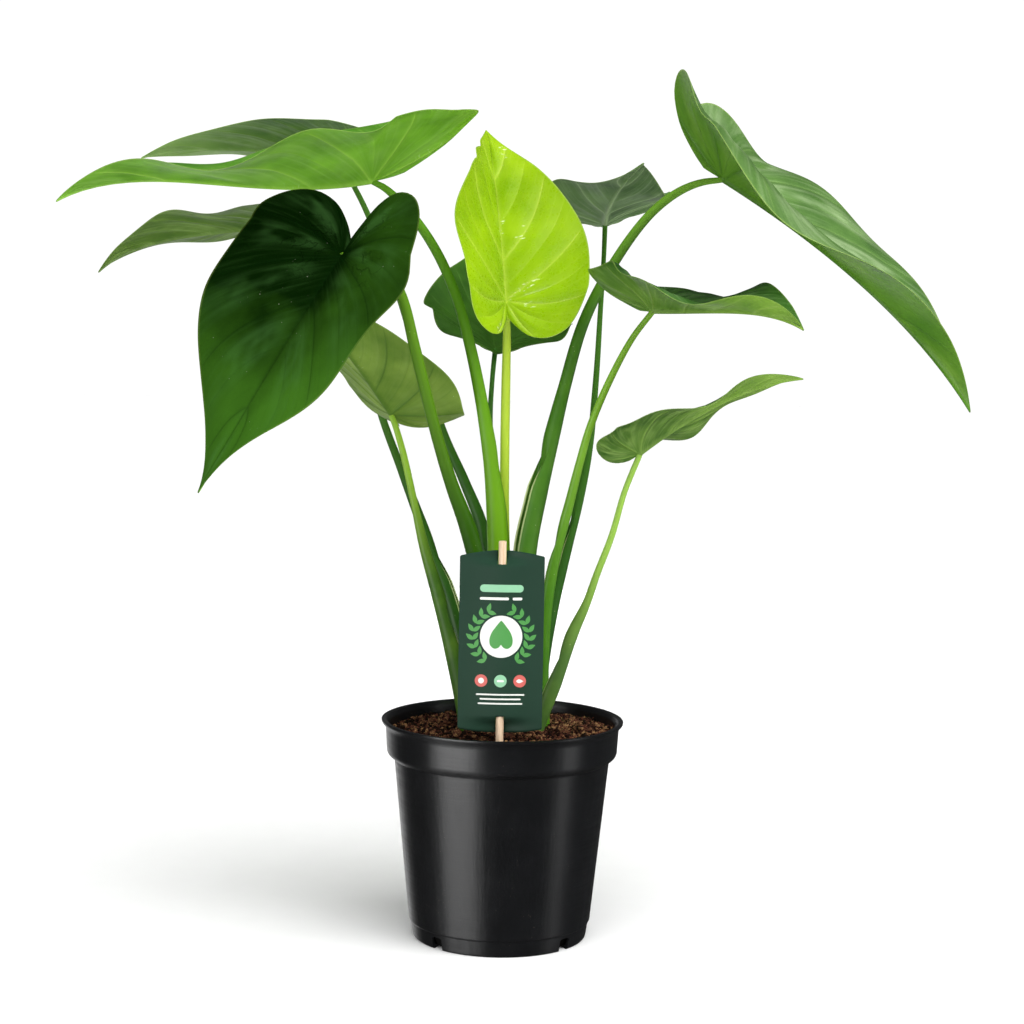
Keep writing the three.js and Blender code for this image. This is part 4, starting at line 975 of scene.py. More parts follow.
# Each side has four greens: its deep and its bright tissue, its veins and its painted sheen, a pale colour
# that stands in for light caught between the veins.
GREENS = {
    "young": dict(
        slot="leaf_young", quilt=1.7, matt=0.28, gloss=0.42, veins=0.5, rim=0.5, tip=-0.05,
        streaks=0.0, painted_sheen=0.1, painted_glints=0.9, mottle=0.65,
        upper=((108, 152, 2), (156, 192, 10), (196, 216, 84), (178, 208, 48)),
        under=((130, 170, 20), (164, 198, 44), (195, 218, 96), (180, 212, 70)),
    ),
    "long_left": dict(
        slot="leaf_light", quilt=1.4, matt=0.38, veins=0.4, rim=0.4, tip=-0.25, painted_sheen=0.4,
        painted_glints=0.15, mottle=0.75,
        upper=((50, 104, 20), (84, 140, 34), (132, 178, 70), (120, 170, 70)),
        under=((54, 108, 10), (122, 184, 40), (160, 206, 80), (148, 190, 96)),
    ),
    "back_left": dict(
        slot="leaf_mid", quilt=1.3, matt=0.4, rim=0.35, tip=0.7, mottle=0.6,
        upper=((52, 100, 26), (134, 178, 84), (148, 182, 104), (176, 202, 144)),
        under=((52, 98, 26), (130, 170, 82), (140, 172, 96), (168, 192, 140)),
    ),
    "front": dict(
        slot="leaf_dark", quilt=1.3, matt=0.52, gloss=0.0, veins=0.36, rim=0.12, tip=0.95,
        streaks=0.08, painted_sheen=0.3, mottle=0.35, puckers=0.9, left_painted_light=0.5,
        # Its dark upper vein green paints the shade in the sunken vein channels.
        upper=((5, 22, 2), (50, 90, 22), (8, 30, 6), (62, 102, 50)),
        under=((66, 114, 38), (96, 140, 60), (136, 174, 90), (136, 174, 100)),
    ),
    "side_left": dict(
        slot="leaf_mid", quilt=1.3, gloss=0.35, veins=0.3, tip=0.2, streaks=0.35, painted_sheen=0.5,
        painted_glints=0.1, mottle=0.6,
        upper=((24, 58, 10), (48, 88, 18), (104, 136, 58), (142, 170, 96)),
        under=((44, 80, 14), (90, 124, 36), (116, 146, 62), (140, 168, 92)),
    ),
    "low_left": dict(
        slot="leaf_mid", quilt=1.0, matt=0.5, gloss=0.22, veins=0.5, streaks=0.12, painted_sheen=0.3,
        painted_glints=0.12, mottle=0.9,
        upper=((44, 92, 26), (74, 126, 44), (124, 162, 80), (124, 162, 90)),
        under=((72, 106, 26), (126, 154, 62), (58, 94, 26), (142, 166, 86)),
    ),
    "back": dict(
        slot="leaf_dark", quilt=1.0, veins=0.3, rim=0.2, streaks=0.1, painted_sheen=0.25,
        upper=((24, 58, 12), (64, 110, 28), (84, 124, 50), (92, 132, 62)),
        under=((44, 84, 16), (92, 136, 34), (108, 142, 62), (112, 146, 74)),
    ),
    "long_right": dict(
        slot="leaf_dark", quilt=1.6, matt=0.38, gloss=0.32, rim=0.35, tip=-0.12, streaks=0.22,
        painted_sheen=0.56, mottle=0.5,
        upper=((34, 68, 28), (96, 134, 64), (124, 158, 86), (170, 192, 146)),
        under=((56, 108, 14), (98, 144, 34), (50, 96, 16), (124, 164, 60)),
    ),
    "back_right": dict(
        slot="leaf_dark", gloss=0.35, veins=0.6, streaks=0.2, mottle=0.9,
        upper=((58, 98, 42), (94, 136, 64), (144, 170, 112), (144, 170, 118)),
        under=((46, 80, 34), (98, 130, 74), (148, 172, 124), (140, 164, 124)),
    ),
    "side_right": dict(
        slot="leaf_mid", gloss=0.35, veins=0.3, rim=0.35, tip=0.55,
        upper=((26, 62, 16), (54, 98, 30), (104, 140, 66), (120, 156, 96)),
        under=((56, 102, 22), (114, 154, 46), (144, 174, 80), (142, 172, 88)),
    ),
    "low_right": dict(
        slot="leaf_mid", tip=0.8, streaks=0.3, painted_sheen=0.5,
        upper=((38, 76, 18), (76, 120, 37), (130, 164, 80), (150, 180, 110)),
        under=((46, 86, 18), (110, 148, 50), (136, 168, 76), (150, 180, 96)),
    ),
}


# Sheen, streaks and glints come through here as painted highlights, tip and the left light as painted light.
def leaf_finish(name, side, look):
    deep, bright, vein_tone, painted_sheen = (colour(*green) for green in look[side])
    share = SIDE_LOOK[side]
    return new_material(f"{name}_{side}", leaf_tissue, {
        "Deep": deep, "Bright": bright, "Vein": vein_tone, "Rim": colour(*RIM_PALE), "Painted Sheen": painted_sheen,
        "Vein Show": look["veins"] * share["veins"], "Halo Show": look["veins"] * share["halo"],
        "Rim Show": look["rim"], "Painted Sheen Show": look["painted_sheen"] * share["painted_sheen"], "Tip Painted Light": look["tip"],
        "Mottle": look["mottle"], "Streaks": look["streaks"], "Painted Glints": look["painted_glints"],
        "Puckers": look["puckers"], "Left Painted Light": look["left_painted_light"], "Specks": SPECK_SHOW,
        "Matt": look["matt"] + share["more_matt"],
    }, LEAF_BUMP, look["gloss"] * share["gloss"])


# %% Grow the blades
QUILT, PUCKER = 0.0009, 0.0012
for name, leaf in LEAVES.items():
    leaf_look = {**USUAL_LOOK, **GREENS[name]}
    blade = grow(f"leaf_{name}", blade_sheet(name, leaf), blade_relief, {
        "Quilt": QUILT * leaf_look["quilt"], "Pucker": PUCKER * leaf_look["quilt"],
        "Upper Finish": leaf_finish(name, "upper", leaf_look),
        "Under Finish": leaf_finish(name, "under", leaf_look),
    })
    outwards(blade)
    place_piece(blade, leaf_look["slot"], f"blade_{name}")
print("triangles in the last blade:", triangles(blade))

# %% [markdown]
# ## The stems
#
# A stem of this plant is round near its blade. Lower down it opens into a sheath, a thick back
# with two thin wings that wrap the younger stems, so its cross-section is a C. A tube could be
# swept with one profile only, so the tree sweeps a plain ring along the stem's route and then
# moves each point to its place on a section between the round one and the C.

# %% The tree for a stem
tree, size = new_group("stem with sheath", "GeometryNodeTree", {
    "Route": (GEOMETRY, None), "Ring Points": (WHOLE, 56), "Sheath Top": (NUMBER, 0.4),
    "Opening Length": (NUMBER, 0.055), "Wing Angle": (NUMBER, 0.62), "Wing Thickness": (NUMBER, 0.07),
    "Back Thickness": (NUMBER, 0.95), "Flare": (NUMBER, 0.1), "Crinkle": (NUMBER, 0.22),
    "Finish": (MATERIAL, None),
}, {"Stem": GEOMETRY})
ring = Field(node(tree, "GeometryNodeCurvePrimitiveCircle", {
    "Resolution": size["Ring Points"], "Radius": 0.001,
}))
index = Field(tree.nodes.new("GeometryNodeInputIndex"))
ring = store(ring, "turn", index / size["Ring Points"])
route = size["Route"].into("MeshToCurve")
tube = route.into("CurveToMesh", {"Profile Curve": ring, "Fill Caps": True})
centre = read(tree, "centre", "FLOAT_VECTOR")
height = centre.part("Z")
turn = read(tree, "turn")
right_half = turn.apply("GREATER_THAN", 0.5)
share = right_half * (2 - turn * 4) + turn * 2
hand = 1 - right_half * 2
from_wing = (share * 2 - 1).apply("ABSOLUTE")
inside = share.apply("LESS_THAN", 0.499)
wing = (1 - from_wing) * (1 - from_wing)
waves = cloud(stretched(centre, (30.0, 30.0, 85.0)), 1.0, 2.0) - 0.5
depth = size["Wing Thickness"] + from_wing * (size["Back Thickness"] - size["Wing Thickness"])
c_angle = from_wing * (math.pi - size["Wing Angle"]) + size["Wing Angle"]
c_reach = 1 + wing * size["Flare"] + wing * waves * size["Crinkle"] - inside * depth
opened = step(height, size["Sheath Top"] - size["Opening Length"], size["Sheath Top"], 1.0, 0.0)
round_angle = share * math.pi


def circle(angle):
    return angle.apply("COSINE"), angle.apply("SINE")


c_in, c_side = (part * c_reach for part in circle(c_angle))
round_in, round_side = circle(round_angle)
towards = round_in + (c_in - round_in) * opened
sideways = (round_side + (c_side - round_side) * opened) * hand
reach = read(tree, "reach")
spot = (
    centre
    + read(tree, "inward", "FLOAT_VECTOR") * (towards * reach)
    + read(tree, "sideways", "FLOAT_VECTOR") * (sideways * reach)
)
shaped = store(tube, "margin", wing ** 5 * opened)
shaped = store(shaped, "height", height)
ring_in, ring_side = circle(turn * (2 * math.pi))
around = vector(tree, ring_in, ring_side, height * 6.0)
shaped = store(shaped, "around", around, "FLOAT_VECTOR")
shaped = shaped.into("SetPosition", {"Position": spot}).into("SetShadeSmooth")
finish_group(tree, {"Stem": shaped.into("SetMaterial", {"Material": size["Finish"]})})
stem_with_sheath = tree
print("stem nodes:", len(tree.nodes))

# %% [markdown]
# The route of each stem is a smooth curve through a few listed points, from the joint down
# into the soil. The way in which its sheath opens is carried from the foot up along the curve,
# so that the tube doesn't twist where the stem leans.

# %% Lay the routes and grow the stems
STEM_TOP_RADIUS = 0.0024
STEM_DEPTH = 0.022
STEM_STATIONS = 110
STEM_EVENNESS = 0.5
JOINT_SINK = 0.0006
STEM_BUMP = 0.00004
STEM_SPECULAR = 0.14
# Each stem: slot, upper green, lower green, and the heights where the lower one ends and the
# upper one begins.
STEM_GREENS = {
    "young": ("stem_light", (188, 214, 66), (160, 202, 52), 0.22, 0.5),
    "long_left": ("stem_mid", (90, 142, 32), (104, 156, 20), 0.34, 0.56),
    "back_left": ("stem_dark", (76, 124, 40), (38, 80, 20), 0.3, 0.66),
    "front": ("stem_mid", (84, 126, 20), (36, 78, 2), 0.32, 0.52),
    "side_left": ("stem_dark", (74, 118, 42), (38, 82, 16), 0.28, 0.56),
    "low_left": ("stem_mid", (140, 180, 54), (56, 92, 26), 0.3, 0.43),
    "back": ("stem_dark", (64, 110, 44), (44, 88, 30), 0.24, 0.48),
    "long_right": ("stem_mid", (112, 160, 46), (62, 108, 28), 0.52, 0.67),
    "back_right": ("stem_dark", (76, 126, 42), (34, 78, 18), 0.22, 0.6),
    "side_right": ("stem_mid", (120, 166, 46), (66, 122, 22), 0.26, 0.5),
    "low_right": ("stem_mid", (140, 180, 70), (72, 106, 46), 0.24, 0.36),
}
SHEATH_EDGE = (208, 222, 158)


def stem_route(name, leaf):
    """The stem's middle line as a mesh whose points carry what the tree needs."""
    _, up, _ = blade_axes(leaf, np.array(0.0))
    top = np.array(leaf["joint"]) - up * JOINT_SINK
    listed = np.array(leaf["stem"])
    points = np.vstack([top, listed[:, :3], listed[-1, :3] - [0, 0, STEM_DEPTH]])
    radii = np.concatenate([[STEM_TOP_RADIUS], listed[:, 3], listed[-1:, 3]])
    where = even_places(points, STEM_EVENNESS, STEM_STATIONS)
    centres = curve_at(points, where, STEM_EVENNESS)
    tangents = np.gradient(centres, axis=0)
    tangents /= np.linalg.norm(tangents, axis=1, keepdims=True)
    facing = math.radians(leaf["faces"])
    inward = np.array([math.cos(facing), math.sin(facing), 0])
    directions = np.empty_like(centres)
    for i in reversed(range(STEM_STATIONS)):
        inward = inward - tangents[i] * (inward @ tangents[i])
        inward /= np.linalg.norm(inward)
        directions[i] = inward
    mesh = bpy.data.meshes.new(name)
    edges = [(i, i + 1) for i in range(STEM_STATIONS - 1)]
    mesh.from_pydata(centres.tolist(), edges, [])
    values = {
        "centre": centres, "inward": directions, "sideways": np.cross(tangents, directions),
        "reach": np.interp(where, np.arange(len(radii)), radii),
    }
    for label, value in values.items():
        kind, field = ("FLOAT", "value") if value.ndim == 1 else ("FLOAT_VECTOR", "vector")
        mesh.attributes.new(label, kind, "POINT").data.foreach_set(field, value.ravel())
    return mesh


for name, leaf in LEAVES.items():
    slot, upper, lower, low, high = STEM_GREENS[name]
    finish = new_material(f"stem_{name}_skin", stem_skin, {
        "Upper": colour(*upper), "Lower": colour(*lower), "Edge": colour(*SHEATH_EDGE),
        "Low": low, "High": high,
    }, STEM_BUMP, STEM_SPECULAR)
    stem = grow(f"petiole_{name}", stem_route(name, leaf), stem_with_sheath, {
        "Sheath Top": leaf["sheath_top"], "Finish": finish,
    })
    outwards(stem)
    place_piece(stem, slot, f"stem_{name}")
print("triangles in the last stem:", triangles(stem))

# %% [markdown]
# ## The pot
#
# The pot is one shot of black plastic, thin walled, with a flared lip, a collar, a foot and
# four drain notches. A pot is a turned body, so a tree makes it from a rule: it wraps a grid
# round the axis, reads each row's radius and height from the profile, and cuts the notches
# with rounded blocks that repeat round the foot. The profile is the wall's section: up the
# outside, over the lip and down the inside.

# %% The pot's profile
POT_HEIGHT = 0.19
RIM_RADIUS = 0.105
COLLAR_RADIUS = 0.1
COLLAR_BOTTOM = 0.156
SHOULDER_RADIUS = 0.0934
FOOT_RADIUS = 0.079
FOOT_HEIGHT = 0.015
BASE_RADIUS = 0.073
POT_WALL = 0.002
POT_FLOOR = 0.0026
COLLAR_EASE = (0.001, 0.007)
CORNER_PIECES = 7


def rounded_line(corners):
    """A line through corners given as (radius, height, rounding)."""
    points = [corners[0][:2]]
    for before, corner, after in zip(corners, corners[1:], corners[2:]):
        spot, rounding = Vector(corner[:2]), corner[2]
        enter = spot + (Vector(before[:2]) - spot).normalized() * rounding
        leave = spot + (Vector(after[:2]) - spot).normalized() * rounding
        for i in range(CORNER_PIECES):
            t = i / (CORNER_PIECES - 1)
            points.append(tuple(enter * (1 - t) ** 2 + spot * 2 * t * (1 - t) + leave * t * t))
    return points + [corners[-1][:2]]


def inner_radius(height):
    taper = (SHOULDER_RADIUS - FOOT_RADIUS) / (COLLAR_BOTTOM - FOOT_HEIGHT)
    wall = FOOT_RADIUS + taper * (height - FOOT_HEIGHT) - POT_WALL
    below, ease = COLLAR_EASE
    share = float(soft_step((height - COLLAR_BOTTOM + below) / ease))
    return wall + (COLLAR_RADIUS - POT_WALL - wall) * share


POT_PROFILE = rounded_line([
    (0, 0, 0), (BASE_RADIUS - 0.006, 0, 0.001), (BASE_RADIUS - 0.005, 0.0012, 0.0005),
    (BASE_RADIUS - 0.002, 0.0012, 0.0005), (BASE_RADIUS - 0.001, 0, 0.0005),
    (BASE_RADIUS + 0.0026, 0, 0.002), (FOOT_RADIUS - 0.0012, FOOT_HEIGHT - 0.0012, 0.0006),
    (FOOT_RADIUS + 0.0001, FOOT_HEIGHT + 0.0002, 0.0006),
    (SHOULDER_RADIUS, COLLAR_BOTTOM, 0.0012), (COLLAR_RADIUS - 0.0002, COLLAR_BOTTOM + 0.0042, 0.0035),
    (COLLAR_RADIUS + 0.0012, POT_HEIGHT - 0.006, 0.003), (RIM_RADIUS - 0.0002, POT_HEIGHT - 0.0022, 0.0011),
    (RIM_RADIUS, POT_HEIGHT - 0.0001, 0.0009), (COLLAR_RADIUS + 0.0002, POT_HEIGHT - 0.0004, 0.0012),
    (inner_radius(POT_HEIGHT), POT_HEIGHT - 0.004, 0.0015),
    (inner_radius(COLLAR_BOTTOM + 0.006), COLLAR_BOTTOM + 0.006, 0.002),
    (inner_radius(COLLAR_BOTTOM - 0.003), COLLAR_BOTTOM - 0.003, 0.002),
    (inner_radius(FOOT_HEIGHT), FOOT_HEIGHT, 0.001), (BASE_RADIUS - 0.0005, POT_FLOOR, 0.001),
    (0, POT_FLOOR, 0),
])
print("profile points:", len(POT_PROFILE))

# %% The tree for the pot
POT_MERGE = 1e-6
NOTCH_DEPTH = 0.02
tree, size = new_group("turned pot", "GeometryNodeTree", {
    "Profile": (GEOMETRY, None), "Profile Points": (WHOLE, 100), "Sides": (WHOLE, 160),
    "Notches": (WHOLE, 4), "Notch Width": (NUMBER, 0.011), "Notch Height": (NUMBER, 0.011),
    "Notch Rounding": (NUMBER, 0.0022), "First Notch": (NUMBER, math.radians(47)),
    "Foot Radius": (NUMBER, BASE_RADIUS + 0.003), "Finish": (MATERIAL, None),
}, {"Pot": GEOMETRY})
grid = Field(node(tree, "GeometryNodeMeshGrid", {
    "Size X": 1.0, "Size Y": 1.0, "Vertices X": size["Sides"] + 1, "Vertices Y": size["Profile Points"],
}), "Mesh")
position = Field(tree.nodes.new("GeometryNodeInputPosition"))
spot = node(tree, "ShaderNodeSeparateXYZ", {"Vector": position})
angle = (Field(spot, "X") + 0.5) * (2 * math.pi)
row = (Field(spot, "Y") + 0.5) * (size["Profile Points"] - 1) + 0.25
on_profile = Field(node(tree, "GeometryNodeSampleIndex", {
    "Geometry": size["Profile"], "Value": position, "Index": row,
}, data_type="FLOAT_VECTOR", domain="POINT"))
section = node(tree, "ShaderNodeSeparateXYZ", {"Vector": on_profile})
radius, rise = Field(section, "X"), Field(section, "Z")
cosine, sine = circle(angle)
body = grid.into("SetPosition", {"Position": vector(tree, radius * cosine, radius * sine, rise)})
body = body.into("MergeByDistance", {"Distance": POT_MERGE})
arch = Field(node(tree, "GeometryNodeCurvePrimitiveQuadrilateral", {
    "Width": size["Notch Width"], "Height": size["Notch Height"] * 2,
}))
arch = arch.into("FilletCurve", {
    "Count": 5, "Radius": size["Notch Rounding"], "Limit Radius": True,
}, mode="POLY")
plate = arch.into("FillCurve", mode="NGONS")
block = plate.into("ExtrudeMesh", {
    "Offset": (0.0, 0.0, NOTCH_DEPTH), "Offset Scale": 1.0, "Individual": False,
}, mode="FACES")
block = joined(block, plate.into("FlipFaces")).into("MergeByDistance", {"Distance": POT_MERGE})
block = block.into("Transform", {
    "Translation": (-NOTCH_DEPTH / 2, 0.0, 0.0), "Rotation": (math.pi / 2, 0.0, math.pi / 2),
})
turn = Field(tree.nodes.new("GeometryNodeInputIndex")) / size["Notches"] * (2 * math.pi)
turn = turn + size["First Notch"]
foot_in, foot_side = circle(turn)
foot_spot = vector(tree, foot_in * size["Foot Radius"], foot_side * size["Foot Radius"])
spots = Field(node(tree, "GeometryNodePoints", {"Count": size["Notches"], "Position": foot_spot}))
blocks = spots.into("InstanceOnPoints", {"Instance": block, "Rotation": vector(tree, z=turn)})
blocks = blocks.into("RealizeInstances")
cut = body.into("MeshBoolean", {1: blocks}, operation="DIFFERENCE", solver="EXACT")
finish_group(tree, {"Pot": cut.into("SetMaterial", {"Material": size["Finish"]})})
turned_pot = tree
print("pot nodes:", len(tree.nodes))

# %% [markdown]
# Moulded plastic is never quite even. Under a soft light it shows fine upright flow marks,
# faint rings from the mould and a dusting of pale specks where soil has brushed it. The card
# is plastic too, so both use this group, each with its own colours and strengths.

# %% The look of moulded plastic
PLASTIC_LOOK = {
    "Tone": (COLOUR, (0.01, 0.01, 0.01, 1)), "Worn": (COLOUR, (0.05, 0.05, 0.05, 1)),
    "Gloss": (NUMBER, 0.35), "Flow": (NUMBER, 0.2), "Dust": (NUMBER, 0.3),
}
tree, look = new_group("moulded plastic", "ShaderNodeTree", PLASTIC_LOOK, FINISH)
place = object_place(tree)
flow = cloud(stretched(place, (160.0, 160.0, 9.0)), 1.0, 3.0, 0.6)
rings = cloud(stretched(place, (14.0, 14.0, 520.0)), 1.0, 2.0)
grain = cloud(place, 1500.0, 2.0)
patches = cloud(place, 26.0, 4.0, 0.6)
scuffs = step(cloud(stretched(place, (70.0, 70.0, 420.0)), 1.0, 5.0, 0.7), 0.66, 0.74)
dust = step(cells(place, 330.0), 0.04, 0.09, 1.0, 0.0) * step(patches, 0.54, 0.64)
tone = blend((patches - 0.4) * 0.7, look["Tone"], look["Worn"])
tone = blend(scuffs * 0.35, tone, look["Worn"])
tone = blend(dust * look["Dust"], tone, (0.25, 0.22, 0.18, 1))
finish_group(tree, {
    "Color": tone,
    "Roughness": look["Gloss"] + (flow - 0.5) * look["Flow"] + (patches - 0.5) * 0.12 + scuffs * 0.12
    + (rings - 0.5) * look["Flow"] * 0.8,
    "Height": flow * look["Flow"] * 2.0 + rings * 0.2 + grain * 0.1,
})
moulded_plastic = tree

# %% Turn the pot
POT_BUMP = 0.0003
POT_SPECULAR = 0.7
POT_SHARP_ANGLE = 32
profile = bpy.data.meshes.new("pot_profile")
profile.from_pydata([(radius, 0, height) for radius, height in POT_PROFILE], [], [])
black = new_material("pot_black", moulded_plastic, {
    "Tone": colour(10, 11, 13), "Worn": colour(26, 27, 30), "Gloss": 0.42, "Flow": 0.22, "Dust": 0.8,
}, POT_BUMP, POT_SPECULAR, **{"Anisotropic": 0.85, "Anisotropic Rotation": 0.25})
tree = black.node_tree
around = node(tree, "ShaderNodeTangent", direction_type="RADIAL", axis="Z")
tree.links.new(around.outputs[0], tree.nodes["Principled BSDF"].inputs["Tangent"])
pot = grow("nursery_pot", profile, turned_pot, {"Profile Points": len(POT_PROFILE), "Finish": black})
outwards(pot)
pot.data.shade_smooth()
pot.data.set_sharp_from_angle(angle=math.radians(POT_SHARP_ANGLE))
place_piece(pot, "pot", "pot")
print("triangles in the pot:", triangles(pot))

# %% [markdown]
# ## The soil
#
# The potting mix is reddish-brown peat and coconut fibre, lumpy, with dark hollows. Its top is
# a fine mesh shaped by noise. The fibres and crumbs on it repeat by the thousand, so a tree
# scatters them: it picks places on the top with a fixed seed, sets a short fibre or a crumb
# on each, turned and sized at random, and bends the lot with noise so that no two look alike.

# %% Shape the soil's top
SOIL_LEVEL = 0.179
SOIL_RELIEF = 0.0022
SOIL_EDGE = inner_radius(SOIL_LEVEL) - 0.0001
SOIL_SIDES = 150
SOIL_RINGS = 52
# Each hollow: x, y and width. The mound: x, y, spread and rise.
HOLLOWS = (
    (-0.068, 0.012, 0.016), (-0.052, -0.022, 0.018), (0.043, 0.0, 0.011), (0.052, -0.034, 0.012),
    (0.03, 0.05, 0.02), (-0.03, 0.055, 0.018),
)
MOUND = (0.012, 0.012, 0.046, 0.0085)
HOLLOW_DEPTH = 0.006
SOIL_GAP = 0.0004


def soil_height(x, y):
    reach = math.hypot(x, y) / SOIL_EDGE
    broad = math.sin(x * 71 + 1.3) * math.cos(y * 83 - 0.4)
    small = math.sin(x * 190 - y * 130) * math.cos(y * 210 + 0.7)
    lumps = noise.fractal(Vector((x, y, 0)) * 75, 0.9, 2.1, 5) * 0.003
    clods = 0.009 * max(0.0, 0.45 - noise.cell(Vector((x, y, 0)) * 60)) * max(0.0, 1 - reach**4)
    pits = sum(HOLLOW_DEPTH * math.exp(-((x - a) ** 2 + (y - b) ** 2) / c**2) for a, b, c in HOLLOWS)
    middle_x, middle_y, spread, rise = MOUND
    mound = rise * math.exp(-((x - middle_x) ** 2 + (y - middle_y) ** 2) / spread**2)
    level = SOIL_LEVEL + mound - 0.0012 * reach**6 + SOIL_RELIEF * (0.6 * broad + 0.4 * small)
    return level + lumps + clods * 0.4 - pits


def soil_mesh():
    bottom = POT_FLOOR + 0.0003
    side_rings = [(SOIL_EDGE, 0.165), (inner_radius(0.15) - SOIL_GAP, 0.15),
                  (inner_radius(0.02) - SOIL_GAP, 0.02), (BASE_RADIUS - 0.0015, bottom)]
    angles = [2 * math.pi * k / SOIL_SIDES for k in range(SOIL_SIDES)]
    points = [(0, 0, soil_height(0, 0))]
    for i in range(1, SOIL_RINGS + 1):
        radius = SOIL_EDGE * i / SOIL_RINGS
        for angle in angles:
            x, y = radius * math.cos(angle), radius * math.sin(angle)
            points.append((x, y, soil_height(x, y)))
    for radius, height in side_rings:
        points += [(radius * math.cos(angle), radius * math.sin(angle), height) for angle in angles]
    points.append((0, 0, bottom))
    faces = [(0, 1 + k, 1 + (k + 1) % SOIL_SIDES) for k in range(SOIL_SIDES)]
    for i in range(SOIL_RINGS + len(side_rings) - 1):
        for k in range(SOIL_SIDES):
            a, b = 1 + i * SOIL_SIDES + k, 1 + i * SOIL_SIDES + (k + 1) % SOIL_SIDES
            faces.append((a, a + SOIL_SIDES, b + SOIL_SIDES, b))
    last = 1 + (SOIL_RINGS + len(side_rings) - 1) * SOIL_SIDES
    faces += [(last + k, len(points) - 1, last + (k + 1) % SOIL_SIDES) for k in range(SOIL_SIDES)]
    mesh = bpy.data.meshes.new("potting_soil")
    mesh.from_pydata(points, [], faces)
    mesh.shade_smooth()
    return mesh


GOLDEN_SPOT = (0.056, 0.016, 0.18)
SOIL_LOOK = {
    "Dark": (COLOUR, colour(24, 14, 11)), "Red": (COLOUR, colour(86, 50, 38)),
    "Tan": (COLOUR, colour(152, 120, 80)), "Coarse": (NUMBER, 0.5),
}
tree, look = new_group("potting mix", "ShaderNodeTree", SOIL_LOOK, FINISH)
place = object_place(tree)
tint = painted(tree, "tint")
clump = cloud(place, 70.0, 4.0, 0.6)
crumb = cloud(place, 420.0, 4.0, 0.7)
fibres = cloud(stretched(place, (900.0, 260.0, 900.0)), 1.0, 3.0)
reddish = step(crumb * 0.6 + clump * 0.4 + (tint - 0.5) * look["Coarse"], 0.38, 0.62)
mix = blend(reddish, look["Dark"], look["Red"])
mix = blend(step(fibres + (tint - 0.5) * look["Coarse"], 0.62, 0.8) * 0.6, mix, look["Tan"])
from_patch = place.apply("DISTANCE", GOLDEN_SPOT, output="Value")
golden = step(from_patch, 0.008, 0.03, 1.0, 0.0) * step(crumb * 0.5 + fibres * 0.5, 0.52, 0.6)
mix = blend(golden * 0.9, mix, look["Tan"])
# Painted shade: below its top the soil turns near black, as the inside of the pot is in shade.
mix = blend(step(place.part("Z"), 0.13, 0.172), (0.002, 0.0015, 0.001, 1), mix)
finish_group(tree, {"Color": mix, "Roughness": crumb * 0.2 + 0.75, "Height": crumb + fibres * 0.5})
potting_mix = tree

SOIL_BUMP, LITTER_BUMP = 0.0012, 0.0006
SOIL_SPECULAR = 0.12
soil = new_object("potting_soil", soil_mesh())
soil.data.materials.append(new_material("soil_mix", potting_mix, {"Coarse": 0.0}, SOIL_BUMP, SOIL_SPECULAR))
outwards(soil)
place_piece(soil, "soil", "soil")
print("triangles in the soil:", triangles(soil))

# %% The tree that scatters fibres and crumbs
LOWEST_LITTER = 0.168
tree, size = new_group("soil litter", "GeometryNodeTree", {
    "Ground": (GEOMETRY, None), "Density": (NUMBER, 60000.0), "Seed": (WHOLE, 3),
    "Smallest": (NUMBER, 0.002), "Largest": (NUMBER, 0.008), "Slimness": (NUMBER, 0.06),
    "Corners": (WHOLE, 4), "Tilt": (NUMBER, 0.5), "Bend": (NUMBER, 0.002), "Reach": (NUMBER, 0.09),
    "Finish": (MATERIAL, None),
}, {"Litter": GEOMETRY})
ground_place = Field(tree.nodes.new("GeometryNodeInputPosition"))
on_top = ground_place.part("Z").apply("GREATER_THAN", LOWEST_LITTER)
spots = size["Ground"].into("DistributePointsOnFaces", {
    "Selection": on_top, "Density": size["Density"], "Seed": size["Seed"],
})
bit = Field(node(tree, "GeometryNodeMeshCylinder", {
    "Vertices": size["Corners"], "Side Segments": 4, "Radius": size["Slimness"], "Depth": 1.0,
}), "Mesh")


def chance(tree, low, high, seed):
    """A number between low and high that differs from bit to bit."""
    inputs = {2: low, 3: high, "Seed": seed}
    return Field(node(tree, "FunctionNodeRandomValue", inputs, data_type="FLOAT"), 1)


lean = vector(
    tree, chance(tree, -1.0, 1.0, 11) * size["Tilt"] + math.pi / 2,
    chance(tree, -1.0, 1.0, 12) * size["Tilt"], chance(tree, 0.0, 2 * math.pi, 13),
)
length = chance(tree, 0.0, 1.0, 14) ** 2 * (size["Largest"] - size["Smallest"]) + size["Smallest"]
litter = spots.into("InstanceOnPoints", {"Instance": bit, "Rotation": lean, "Scale": length})
litter = store(litter, "tint", chance(tree, 0.0, 1.0, 15), domain="INSTANCE").into("RealizeInstances")
shift = cloud(ground_place, 160.0, 1.0, output="Color") - (0.5, 0.5, 0.42)
litter = litter.into("SetPosition", {"Offset": shift * size["Bend"]})
flat_place = stretched(ground_place, (1.0, 1.0, 0.0))
past = (flat_place.apply("LENGTH", output="Value") / size["Reach"]).apply("MAXIMUM", 1.0)
litter = litter.into("SetPosition", {"Offset": flat_place * (past ** -1 - 1)}).into("SetShadeSmooth")
finish_group(tree, {"Litter": litter.into("SetMaterial", {"Material": size["Finish"]})})
soil_litter = tree

